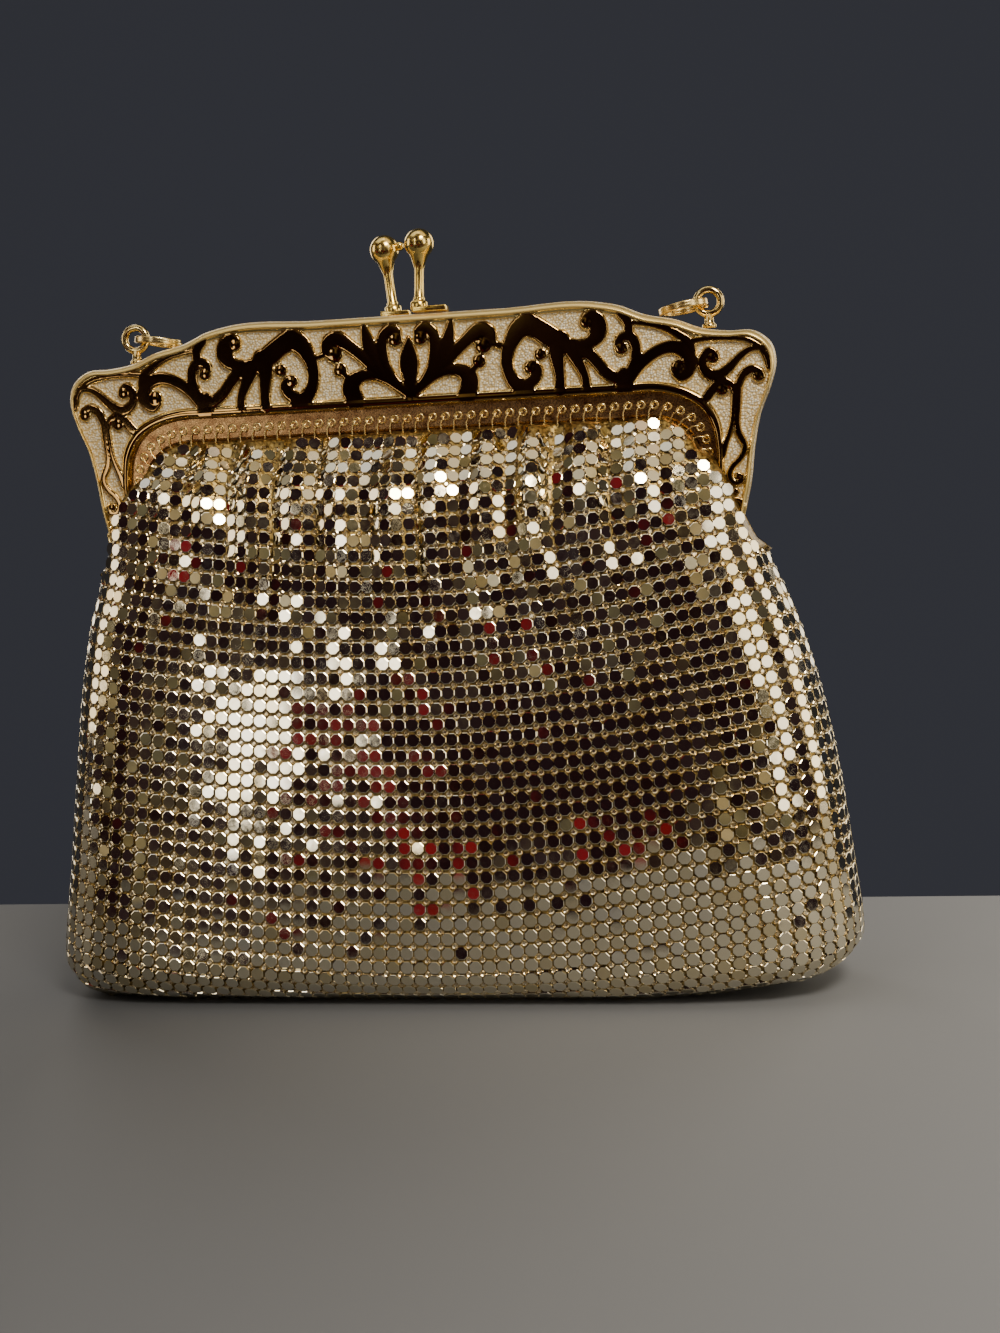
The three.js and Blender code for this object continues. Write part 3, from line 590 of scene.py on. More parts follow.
@dataclass(frozen=True)
class FoldedArms(Metal):
    """The plaques' arms folded over their links, seen as a lattice in the gaps, in a dark colour that is partly
    painted shade between the plaques.
    """

    depth_mm: float = 0.25

    def build(self) -> bpy.types.Material:
        """Builds a diagonal lattice on the bag's own plaque grid.

        Returns:
            The material.
        """
        material, tree, shader, place = self.base()
        grid = add_node(tree, "ShaderNodeUVMap", {"uv_map": "UVMap"}).outputs["UV"]
        turned = add_node(tree, "ShaderNodeMapping", inputs={
            "Vector": grid, "Rotation": (0, 0, math.radians(45)), "Scale": (1.414, 1.414, 1)}).outputs["Vector"]
        cells = add_node(tree, "ShaderNodeTexChecker", inputs={"Vector": turned, "Scale": 1.0}).outputs["Fac"]
        blotch = add_node(tree, "ShaderNodeTexNoise", inputs={
            "Vector": place, "Scale": 1 / (self.scratch_mm * MM), "Detail": 3.0}).outputs["Fac"]
        colour = ramp(tree, blotch, ((0.35, self.dark), (0.65, self.light)))
        tree.links.new(colour, shader.inputs["Base Color"])
        tree.links.new(spread(tree, blotch, *self.roughness), shader.inputs["Roughness"])
        bump = add_node(tree, "ShaderNodeBump", inputs={
            "Height": cells, "Strength": 0.7, "Distance": self.depth_mm * MM})
        tree.links.new(bump.outputs["Normal"], shader.inputs["Normal"])
        return material


# Gold-plated die casting, hand polished on the high scrolls: they mirror the dark room, and the darker colour of their
# flat tops is a painted dark reflection of it.
CASTING_FINISH = PebbledCasting("gold_plated_casting", "F4DE9E", "DFBE72", (0.08, 0.2), 7.0, 0.6, 0.003)
# The same plating left satin in the recess of the ledge, browner where it tarnished.
LEDGE_FINISH = Metal("satin_plated_ledge", "E0B47A", "8E5E38", (0.18, 0.34), 2.5, 0.35, 0.02)
# Polished solid brass knobs under bright gold plate.
KNOB_FINISH = Metal("polished_gold_knob", "FDE08C", "F4CC68", (0.12, 0.28), 5.0, 0.8, 0.002)
# Drawn brass wire, bright plated.
WIRE_FINISH = Metal("gold_plated_wire", "FFE8A6", "ECC678", (0.18, 0.34), 4.0, 0.4, 0.004)
# Links pressed from thin brass, champagne gold.
LINK_FINISH = Metal("champagne_link", "F6EACB", "D2B784", (0.14, 0.3), 3.0, 0.5, 0.004)
# Plaques stamped from bright-rolled brass with champagne gold plate.
PLAQUE_FINISH = PlaqueMirror("champagne_plaque", "EDE2C4", "DECDA2", (0.04, 0.09), 6.0, 1.1, 0.0003)
# Undersides of the plaques, folded and dull; their dark brown is partly the dull brass and partly painted shade in the
# gaps between plaques.
ARMS_AND_GAP_SHADE_FINISH = FoldedArms("folded_arms_and_gap_shade", "B59A5C", "4E3A1C", (0.26, 0.46), 6.0, 0.8)


# Frame


@dataclass
class FrameShape:
    """The frame's outline in the flat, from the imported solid's own size."""

    half_width: float
    foot: float
    rise: float
    outer: np.ndarray = field(init=False)
    border: np.ndarray = field(init=False)
    lip: np.ndarray = field(init=False)
    knots: np.ndarray = field(init=False)

    def __post_init__(self) -> None:
        """Scales the three edges and mirrors them."""
        self.outer = self._edge(OUTER_EDGE)
        self.border = self._edge(BORDER_EDGE)
        self.lip = self._edge(LEDGE_LIP)
        middle = 0.5 * (self.outer + self.border)
        self.knots = np.concatenate([[0], np.cumsum(np.linalg.norm(np.diff(middle, axis=0), axis=1))])

    @classmethod
    def from_node(cls, node: str) -> "FrameShape":
        """Reads the frame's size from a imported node."""
        low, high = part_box(node)
        up_unit = (high[2] - low[2]) / (UNITS_UP - LOWEST_UNIT)
        return cls(half_width=high[0], foot=high[2] - UNITS_UP * up_unit, rise=UNITS_UP * up_unit)

    def scale(self, rows: Iterable[Sequence[float]]) -> np.ndarray:
        """Turns [across, up, width] rows in table units to metres."""
        table = np.array([tuple(row) for row in rows], dtype=float)
        across = self.half_width / UNITS_ACROSS
        table[:, 0] *= across
        table[:, 1] = self.foot + table[:, 1] * self.rise / UNITS_UP
        if table.shape[1] > 2:
            table[:, 2] *= across
        return table

    def _edge(self, rows: Iterable[Sequence[float]]) -> np.ndarray:
        """One edge from the left hinge over the middle to the right hinge."""
        right = self.scale(rows)
        left = right[:0:-1] * np.array([-1, 1])
        return np.vstack([left, right])

    def stations(self, count: int) -> tuple[np.ndarray, np.ndarray, np.ndarray]:
        """Samples the three edges together.

        Args:
            count: number of stations from hinge to hinge.

        Returns:
            Outer edge, border edge and lip at each station.
        """
        place = np.linspace(self.knots[0], self.knots[-1], count)
        return tuple(self._smooth(edge, place) for edge in (self.outer, self.border, self.lip))

    def _smooth(self, edge: np.ndarray, place: np.ndarray) -> np.ndarray:
        """Runs a rounded curve through an edge's rows."""
        step = np.diff(self.knots)
        slope = np.diff(edge, axis=0) / step[:, None]
        weight = (step[1:] / (step[1:] + step[:-1]))[:, None]
        tangent = np.vstack([slope[:1], weight * slope[:-1] + (1 - weight) * slope[1:], slope[-1:]])
        low = np.clip(np.searchsorted(self.knots, place, side="right") - 1, 0, len(step) - 1)
        t = ((place - self.knots[low]) / step[low])[:, None]
        h = step[low][:, None]
        return ((2 * t ** 3 - 3 * t ** 2 + 1) * edge[low] + (t ** 3 - 2 * t ** 2 + t) * h * tangent[low]
                + (3 * t ** 2 - 2 * t ** 3) * edge[low + 1] + (t ** 3 - t ** 2) * h * tangent[low + 1])


@dataclass
class Scrollwork:
    """The raised strokes, as a height over the flat of the frame."""

    shape: FrameShape
    samples: int = 40
    breadth: float = 1.28
    bevel: float = 0.36 * MM
    bevel_share: float = 0.4
    bead_breadth: float = 1.15
    swell: float = 0.02
    bead_rise: float = 1.12

    def height(self, places: np.ndarray) -> np.ndarray:
        """Height share of the scrollwork at flat places.

        Args:
            places: rows of across and up, in metres.

        Returns:
            0 on the ground and up to 1 on a stroke's crown.
        """
        flat = places * np.array([1, 1])
        flat[:, 0] = np.abs(flat[:, 0])
        height = np.zeros(len(flat))
        for path in STROKES.values():
            line = round_curve(self.shape.scale(path), self.samples)
            self._add_line(flat, line, height)
        for bead in self.shape.scale(BEADS):
            away = np.linalg.norm(flat - bead[:2], axis=1) / (self.bead_breadth * bead[2])
            height[:] = np.maximum(height, self.bead_rise * dome(away) ** 0.4)
        return height

    def _add_line(self, flat: np.ndarray, line: np.ndarray, height: np.ndarray) -> None:
        """Raises the ground under one stroke."""
        reach = self.breadth * line[:, 2].max()
        low = line[:, :2].min(axis=0) - reach
        high = line[:, :2].max(axis=0) + reach
        near = np.nonzero(np.all((flat > low) & (flat < high), axis=1))[0]
        if not len(near):
            return
        start, end = line[:-1, :2], line[1:, :2]
        along = end - start
        length = np.maximum((along ** 2).sum(axis=1), 1e-12)
        offset = flat[near][:, None, :] - start[None]
        share = np.clip((offset * along).sum(axis=2) / length, 0, 1)
        gap = np.linalg.norm(offset - share[:, :, None] * along, axis=2)
        half = 0.5 * self.breadth * (line[:-1, 2] + share * (line[1:, 2] - line[:-1, 2]))
        slope = np.minimum(self.bevel, self.bevel_share * half)
        step = np.clip((half - gap) / slope, 0, 1)
        crown = (1 - (1 - step) ** 1.7) * (1 + self.swell * np.clip(1 - (gap / half) ** 2, 0, 1))
        height[near] = np.maximum(height[near], crown.max(axis=1))


@dataclass
class FrameHalf:
    """One cast half of the frame with its ledge, hole rims and stitching loops."""

    facing: Facing
    shape: FrameShape
    stations: int
    ground_steps: int
    ground_depth: float = 4.4 * MM
    relief_rise: float = 0.74 * MM
    ledge_depth: float = 3.2 * MM
    ledge_thickness: float = 1.0 * MM
    wall: float = 1.3 * MM
    parting: float = 0.15 * MM
    hole_radius: float = 0.62 * MM
    hole_pitch: float = 2.75 * MM
    hole_run: float = 74 * MM
    rim_wire: float = 0.28 * MM
    loop_wire: float = 0.17 * MM
    loop_reach: float = 2.7 * MM
    loop_slant: float = 1.0 * MM

    @property
    def side(self) -> str:
        """Word for this half in names."""
        return self.facing.name.lower()

    def build(self) -> None:
        """Makes and places the half's pieces."""
        casting = CASTING_FINISH.build() if self.facing is Facing.FRONT else bpy.data.materials[CASTING_FINISH.name]
        Piece(f"casting_{self.side}", self.casting(), casting, Slot.CASTING, (f"frame_{self.side}",)).place()
        ledge = LEDGE_FINISH.build() if self.facing is Facing.FRONT else bpy.data.materials[LEDGE_FINISH.name]
        Piece(f"pierced_ledge_{self.side}", self.ledge(), ledge, Slot.CASTING, smooth=False).place()
        wire = bpy.data.materials.get(WIRE_FINISH.name) or WIRE_FINISH.build()
        Piece(f"hole_rims_{self.side}", self.hole_rims(), wire, Slot.CASTING).place()
        Piece(f"stitch_loops_{self.side}", self.stitch_loops(), wire, Slot.RINGS).place()

    def _profile(self, width: np.ndarray) -> tuple[np.ndarray, np.ndarray, int]:
        """Distance from the outer edge and depth across each station, all round the channel.

        Args:
            width: distance from the outer edge to the border's inner edge at each station.

        Returns:
            Distances, depths and the index of the first column of the face.
        """
        rim = np.array(RIM_SECTION) * MM
        border = np.array(BORDER_SECTION) * MM
        span = width[:, None]
        ones = np.ones_like(span)
        narrow = np.minimum(1, 0.3 * width / rim[-1, 0])[:, None]
        wall = np.minimum(self.wall, 0.2 * width)[:, None]
        side = np.array([[self.parting, 1 * MM, 1.8 * MM, 2.5 * MM]])
        inner = narrow * rim[-1, 0]
        foot = narrow * border[0, 0]
        ground = np.linspace(0, 1, self.ground_steps + 2)[None, 1:-1]
        channel = self.ground_depth - self.wall
        back = ((span - 0.6 * foot, self.ledge_depth - self.ledge_thickness), (span - foot, channel),
                (wall, channel), (wall, self.parting), (0 * span, self.parting))
        along = np.hstack([0 * ones * side, narrow * rim[None, :, 0], inner + ground * (span - inner - foot),
                           span - narrow * border[None, :, 0]] + [place for place, _ in back])
        depth = np.hstack([ones * side, ones * rim[None, :, 1], ones * self.ground_depth * np.ones_like(ground),
                           ones * border[None, :, 1]] + [ones * level for _, level in back])
        return along, depth, side.shape[1]

    def casting(self) -> bpy.types.Mesh:
        """The casting as one bent grid, closed round the channel and at both hinge ends."""
        outer, border, lip = self.shape.stations(self.stations)
        width = np.linalg.norm(border - outer, axis=1)
        along, depth, first = self._profile(width)
        direction = (border - outer) / width[:, None]
        flat = outer[:, None, :] + along[:, :, None] * direction[:, None, :]
        last = first + len(RIM_SECTION) + self.ground_steps + len(BORDER_SECTION) - 3
        face = flat[:, first:last].reshape(-1, 2)
        height = Scrollwork(self.shape).height(face).reshape(len(outer), -1)
        base = depth[:, first:last]
        raised = self.ground_depth + self.relief_rise * height
        relief = np.ones_like(depth)
        flat_ground = base <= self.ground_depth + 0.03 * MM
        relief[:, first:last] = np.where(flat_ground, np.clip(height / 0.12, 0, 1), 1.0)
        depth[:, first:last] = np.where(height > 0, np.maximum(base, raised), base)
        # Crown marks the flat stroke tops and the border rib: polished, and darker in colour as a painted dark
        # reflection.
        crown = np.zeros_like(depth)
        ribbed = (along[:, first:last] > 0.5 * width[:, None]) & (base > 5.05 * MM)
        crown[:, first:last] = np.where(ribbed, 1.0, np.where(raised >= base, np.clip(4 * height - 3, 0, 1), 0.0))
        rim = np.zeros_like(depth)
        rim[:, :first + len(RIM_SECTION) - 5] = 1
        points = np.dstack([flat[:, :, 0], self.facing.value * depth, flat[:, :, 1]])
        return bent_grid(f"casting_{self.side}", points, attributes={"relief": relief, "crown": crown, "rim": rim})

    def _ledge_line(self) -> tuple[np.ndarray, np.ndarray, np.ndarray]:
        """Middle of the ledge, its direction towards the lip and arc length from the middle."""
        outer, border, lip = self.shape.stations(801)
        middle = 0.5 * (border + lip)
        length = np.concatenate([[0], np.cumsum(np.linalg.norm(np.diff(middle, axis=0), axis=1))])
        return middle, lip - border, length - length[len(length) // 2]

    def _holes(self) -> tuple[np.ndarray, np.ndarray, np.ndarray]:
        """Places of the holes with the directions along the ledge and towards the lip."""
        middle, across, length = self._ledge_line()
        half = np.arange(self.hole_pitch / 2, self.hole_run, self.hole_pitch)
        run = np.concatenate([-half[::-1], half])
        place = np.stack([np.interp(run, length, middle[:, k]) for k in (0, 1)], axis=1)
        ahead = np.stack([np.interp(run + 0.1 * MM, length, middle[:, k]) for k in (0, 1)], axis=1) - place
        ahead /= np.linalg.norm(ahead, axis=1)[:, None]
        down = np.stack([ahead[:, 1], -ahead[:, 0]], axis=1)
        return place, ahead, down

    def _frames(self, ahead: np.ndarray, down: np.ndarray) -> np.ndarray:
        """Axes for what repeats along the ledge: along it, towards the lip, and outwards."""
        zero = np.zeros(len(ahead))
        along = np.stack([ahead[:, 0], zero, ahead[:, 1]], axis=1)
        lipward = np.stack([down[:, 0], zero, down[:, 1]], axis=1)
        out = np.tile([0.0, float(self.facing.value), 0.0], (len(ahead), 1))
        return np.stack([along, lipward, out], axis=1)

    def ledge(self) -> bpy.types.Mesh:
        """The ledge plate with its row of holes cut through."""
        outer, border, lip = self.shape.stations(181)
        direction = (outer - border) / np.linalg.norm(outer - border, axis=1)[:, None]
        tuck = border + direction * 0.4 * MM
        front, back = self.ledge_depth, self.ledge_depth - self.ledge_thickness
        corners = [(tuck, front), (border + 0.5 * (lip - border), front), (lip - 0.12 * (lip - border), front),
                   (lip, front - 0.25 * MM), (lip, back + 0.2 * MM), (lip - 0.1 * (lip - border), back),
                   (tuck, back), (tuck, front)]
        points = np.stack([np.stack([flat[:, 0], np.full(len(flat), self.facing.value * depth), flat[:, 1]], axis=1)
                           for flat, depth in corners], axis=1)
        plate = bent_grid(f"pierced_ledge_{self.side}", points)
        return self._pierce(plate)

    def _pierce(self, plate: bpy.types.Mesh) -> bpy.types.Mesh:
        """Cuts the holes through the ledge plate."""
        bm = bmesh.new()
        bmesh.ops.create_cone(bm, cap_ends=True, segments=12, radius1=self.hole_radius, radius2=self.hole_radius,
                              depth=3 * self.ledge_thickness)
        place, ahead, down = self._holes()
        level = self.facing.value * (self.ledge_depth - self.ledge_thickness / 2)
        centres = np.stack([place[:, 0], np.full(len(place), level), place[:, 1]], axis=1)
        drills = Template.of(bm).array("drills", centres, self._frames(ahead, down))
        body = bpy.data.objects.new("plate_body", plate)
        tool = bpy.data.objects.new("plate_drills", drills)
        for helper in (body, tool):
            bpy.context.scene.collection.objects.link(helper)
        cut = body.modifiers.new("holes", "BOOLEAN")
        cut.operation = "DIFFERENCE"
        cut.solver = "EXACT"
        cut.object = tool
        graph = bpy.context.evaluated_depsgraph_get()
        mesh = bpy.data.meshes.new_from_object(body.evaluated_get(graph))
        mesh.name = plate.name
        for helper in (body, tool):
            bpy.data.objects.remove(helper)
        return mesh

    def hole_rims(self) -> bpy.types.Mesh:
        """A bright raised lip round each hole."""
        bm = bmesh.new()
        section = bmesh.ops.create_circle(bm, segments=6, radius=self.rim_wire)["verts"]
        bmesh.ops.rotate(bm, verts=section, cent=(0, 0, 0), matrix=Matrix.Rotation(math.pi / 2, 3, "X"))
        bmesh.ops.translate(bm, verts=section, vec=(self.hole_radius + 0.14 * MM, 0, 0))
        bmesh.ops.spin(bm, geom=bm.verts[:] + bm.edges[:], cent=(0, 0, 0), axis=(0, 0, 1),
                       angle=2 * math.pi, steps=14, use_merge=True)
        place, ahead, down = self._holes()
        level = self.facing.value * self.ledge_depth
        centres = np.stack([place[:, 0], np.full(len(place), level), place[:, 1]], axis=1)
        return Template.of(bm).array(f"hole_rims_{self.side}", centres, self._frames(ahead, down))

    def stitch_loops(self) -> bpy.types.Mesh:
        """The wire loops that hang the mesh: through a hole, round the lip and into the top row."""
        bm = bmesh.new()
        section = bmesh.ops.create_circle(bm, segments=6, radius=self.loop_wire)["verts"]
        bmesh.ops.rotate(bm, verts=section, cent=(0, 0, 0), matrix=Matrix.Rotation(math.pi / 2, 3, "X"))
        bmesh.ops.translate(bm, verts=section, vec=(1 * MM, 0, 0))
        bmesh.ops.spin(bm, geom=bm.verts[:] + bm.edges[:], cent=(0, 0, 0), axis=(0, 0, 1),
                       angle=2 * math.pi, steps=16, use_merge=True)
        for vert in bm.verts:
            radius = math.hypot(vert.co.x, vert.co.y)
            thick = radius - 1 * MM
            out, down = vert.co.x / radius, vert.co.y / radius
            slant = -self.loop_slant * min(1.0, 2.2 * (1 + down))
            bulge = math.copysign(abs(out) ** 0.55, out)
            vert.co = Vector((vert.co.z + slant, down * (self.loop_reach + thick), bulge * (0.8 * MM + thick)))
        place, ahead, down = self._holes()
        level = self.facing.value * (self.ledge_depth - 0.4 * self.ledge_thickness)
        centre = place + down * (self.loop_reach - 0.3 * MM)
        centres = np.stack([centre[:, 0], np.full(len(centre), level), centre[:, 1]], axis=1)
        return Template.of(bm).array(f"stitch_loops_{self.side}", centres, self._frames(ahead, down))


# Turned and wound metal


def spun(bm: bmesh.types.BMesh, profile: Sequence[tuple[float, float]], steps: int = 40) -> None:
    """Turns a profile of radius and height round the Z axis into a closed body."""
    verts = [bm.verts.new((radius, 0, height)) for radius, height in profile]
    edges = [bm.edges.new(pair) for pair in zip(verts, verts[1:])]
    bmesh.ops.spin(bm, geom=verts + edges, cent=(0, 0, 0), axis=(0, 0, 1), angle=2 * math.pi,
                   steps=steps, use_merge=True)
    bmesh.ops.remove_doubles(bm, verts=bm.verts, dist=1e-7)


def ring(bm: bmesh.types.BMesh, radius: float, wire: float, steps: int = 28, sides: int = 12) -> None:
    """Adds a round ring of wire in the XZ plane."""
    section = bmesh.ops.create_circle(bm, segments=sides, radius=wire)["verts"]
    bmesh.ops.translate(bm, verts=section, vec=(radius, 0, 0))
    geometry = section + list({edge for vert in section for edge in vert.link_edges})
    bmesh.ops.spin(bm, geom=geometry, cent=(0, 0, 0), axis=(0, 1, 0), angle=2 * math.pi, steps=steps, use_merge=True)


def settle(bm: bmesh.types.BMesh, verts: list[bmesh.types.BMVert], matrix: Matrix) -> None:
    """Moves some vertices by a matrix."""
    bmesh.ops.transform(bm, matrix=matrix, verts=verts)


@dataclass
class ClaspKnob:
    """One ball of the kiss clasp on its turned stem, with its foot plate."""

    node: str
    foot: float
    lean: float
    facing: Facing
    nib: bool
    ball_radius: float = 3.1 * MM
    stem_radius: float = 1.0 * MM
    height: float = 16.8 * MM
    seat_thickness: float = 1.2 * MM

    def profile(self) -> list[tuple[float, float]]:
        """Profile of the stem and ball from the seat up."""
        centre = self.height - self.ball_radius
        seat = self.seat_thickness / 2
        stem = self.stem_radius
        points = [(0, 0), (1.75 * stem, 0), (1.8 * stem, 0.3 * MM), (1.8 * stem, seat + 0.9 * MM),
                  (1.5 * stem, seat + 1.2 * MM), (1.15 * stem, seat + 1.35 * MM), (1.25 * stem, seat + 1.7 * MM),
                  (stem, seat + 2.1 * MM), (0.96 * stem, centre - 6.2 * MM), (stem, centre - 5.2 * MM),
                  (1.2 * stem, centre - 4.5 * MM)]
        neck = math.radians(-52)
        for step in range(15):
            angle = neck + (math.pi / 2 - neck) * step / 14
            points.append((self.ball_radius * math.cos(angle), centre + self.ball_radius * math.sin(angle)))
        points[-1] = (0, self.height)
        return points

    def build(self, material: bpy.types.Material) -> None:
        """Makes and places the knob."""
        low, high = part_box(self.node)
        seat_level = low[2] + self.seat_thickness / 2
        middle = (low[1] + high[1]) / 2
        bm = bmesh.new()
        spun(bm, self.profile())
        turn = math.atan2(self.lean, self.height - self.ball_radius)
        settle(bm, bm.verts[:], Matrix.Translation((self.foot, middle, seat_level)) @ Matrix.Rotation(turn, 4, "Y"))
        if self.nib:
            before = set(bm.verts)
            bmesh.ops.create_uvsphere(bm, u_segments=16, v_segments=10, radius=1.0 * MM)
            reach = self.ball_radius + 0.35 * MM
            level = low[2] + self.height - self.ball_radius + 1.0 * MM
            place = (self.foot + self.lean + reach, middle - self.facing.value * 0.5 * MM, level)
            settle(bm, [v for v in bm.verts if v not in before], Matrix.Translation(place))
        before = set(bm.verts)
        plate = bmesh.ops.create_cube(bm, size=1)["verts"]
        seat = (0.9 * MM, 8.3 * MM) if self.facing is Facing.FRONT else (-6.9 * MM, -0.6 * MM)
        size = (seat[1] - seat[0], 3.6 * MM, self.seat_thickness)
        place = ((seat[0] + seat[1]) / 2, middle, seat_level)
        settle(bm, plate, Matrix.Translation(place) @ Matrix.Diagonal((*size, 1)))
        edges = list({edge for vert in plate for edge in vert.link_edges})
        bmesh.ops.bevel(bm, geom=edges, offset=0.3 * MM, segments=3, profile=0.5, affect="EDGES", material=-1)
        mesh = mesh_from(bm, f"polished_{self.node}")
        Piece(f"polished_{self.node}", mesh, material, Slot.CLASP, (self.node,)).place()


@dataclass
class ShoulderFitting:
    """A cast eye on the shoulder and the split ring that hangs through it."""

    label: str
    side: int
    hole_radius: float = 1.7 * MM
    eye_wire: float = 1.6 * MM
    ring_wire: float = 0.9 * MM

    def build(self, casting: bpy.types.Material, wire: bpy.types.Material) -> None:
        """Makes and places the eye and the ring."""
        self._eye(casting)
        self._ring(wire)

    def _eye(self, material: bpy.types.Material) -> None:
        """The eye with its post and flange."""
        node = f"chain_eye_{self.label}"
        low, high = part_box(node)
        centre = ((low[0] + high[0]) / 2, (low[1] + high[1]) / 2, high[2] - self.hole_radius - self.eye_wire)
        bm = bmesh.new()
        ring(bm, self.hole_radius + self.eye_wire / 2, self.eye_wire / 2)
        settle(bm, bm.verts[:], Matrix.Translation(centre))
        before = set(bm.verts)
        post_top = centre[2] - self.hole_radius - self.eye_wire / 2 - low[2]
        spun(bm, [(0, 0), (1.4 * MM, 0), (1.5 * MM, 0.2 * MM), (1.5 * MM, 0.65 * MM), (1.25 * MM, 0.85 * MM),
                  (0.95 * MM, 1.2 * MM), (1.0 * MM, post_top), (0, post_top)], 24)
        settle(bm, [v for v in bm.verts if v not in before], Matrix.Translation((centre[0], centre[1], low[2])))
        mesh = mesh_from(bm, f"cast_eye_{self.label}")
        attribute = mesh.attributes.new("relief", "FLOAT", "POINT")
        attribute.data.foreach_set("value", np.ones(len(mesh.vertices), dtype=np.float32))
        Piece(f"cast_eye_{self.label}", mesh, material, Slot.CASTING, (node,)).place()

    def _ring(self, material: bpy.types.Material) -> None:
        """The split ring: a flat wire wound twice round, with its ends showing."""
        node = f"split_ring_{self.label}"
        low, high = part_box(node)
        centre = Vector(((low[0] + high[0]) / 2, (low[1] + high[1]) / 2, (low[2] + high[2]) / 2))
        radius = (high[1] - low[1]) / 2
        drop = (high[2] - low[2]) - 2 * MM
        bm = bmesh.new()
        section = bmesh.ops.create_cube(bm, size=1)["verts"]
        bmesh.ops.delete(bm, geom=[f for f in bm.faces if f.normal.y < 0.5], context="FACES_ONLY")
        bmesh.ops.delete(bm, geom=[e for e in bm.edges if not e.link_faces], context="EDGES")
        bmesh.ops.delete(bm, geom=[v for v in bm.verts if not v.link_faces], context="VERTS")
        size = (self.ring_wire, 1, 0.93 * MM)
        settle(bm, bm.verts[:], Matrix.Diagonal((*size, 1)))
        bmesh.ops.bevel(bm, geom=bm.verts[:], offset=0.2 * MM, segments=2, profile=0.5, affect="VERTICES", material=-1)
        for vert in bm.verts:
            vert.co.y = 0
        bmesh.ops.translate(bm, verts=bm.verts, vec=(radius - self.ring_wire / 2, 0, -0.5 * MM))
        turns = 2.0
        steps = 72
        bmesh.ops.spin(bm, geom=bm.verts[:] + bm.edges[:] + bm.faces[:], cent=(0, 0, 0), axis=(0, 0, 1),
                       dvec=(0, 0, 1.0 * MM / steps), angle=2 * math.pi * turns, steps=steps, use_merge=False)
        tilt = -self.side * math.atan2(drop, 2 * radius)
        settle(bm, bm.verts[:], Matrix.Translation(centre) @ Matrix.Rotation(tilt, 4, "Y"))
        mesh = mesh_from(bm, f"wound_ring_{self.label}")
        Piece(f"wound_ring_{self.label}", mesh, material, Slot.RINGS, (node,)).place()


def hinge_rivets(material: bpy.types.Material) -> None:
    """Makes and places the two hinge rivets with domed heads."""
    for label in ("left", "right"):
        node = f"hinge_rivet_{label}"
        low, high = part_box(node)
        centre = ((low[0] + high[0]) / 2, 0, (low[2] + high[2]) / 2)
        reach = high[1]
        radius = (high[2] - low[2]) / 2
        half = [(0, reach), (0.5 * radius, reach - 0.06 * MM), (0.85 * radius, reach - 0.25 * MM),
                (radius, reach - 0.55 * MM), (radius, reach - 0.7 * MM), (0.5 * radius, reach - 0.7 * MM)]
        profile = [(r, -h) for r, h in half] + [(r, h) for r, h in reversed(half)]
        bm = bmesh.new()
        spun(bm, profile, 24)
        settle(bm, bm.verts[:], Matrix.Translation(centre) @ Matrix.Rotation(math.pi / 2, 4, "X"))
        Piece(f"domed_rivet_{label}", mesh_from(bm, f"domed_rivet_{label}"), material, Slot.RIVETS, (node,)).place()


# Mesh bag


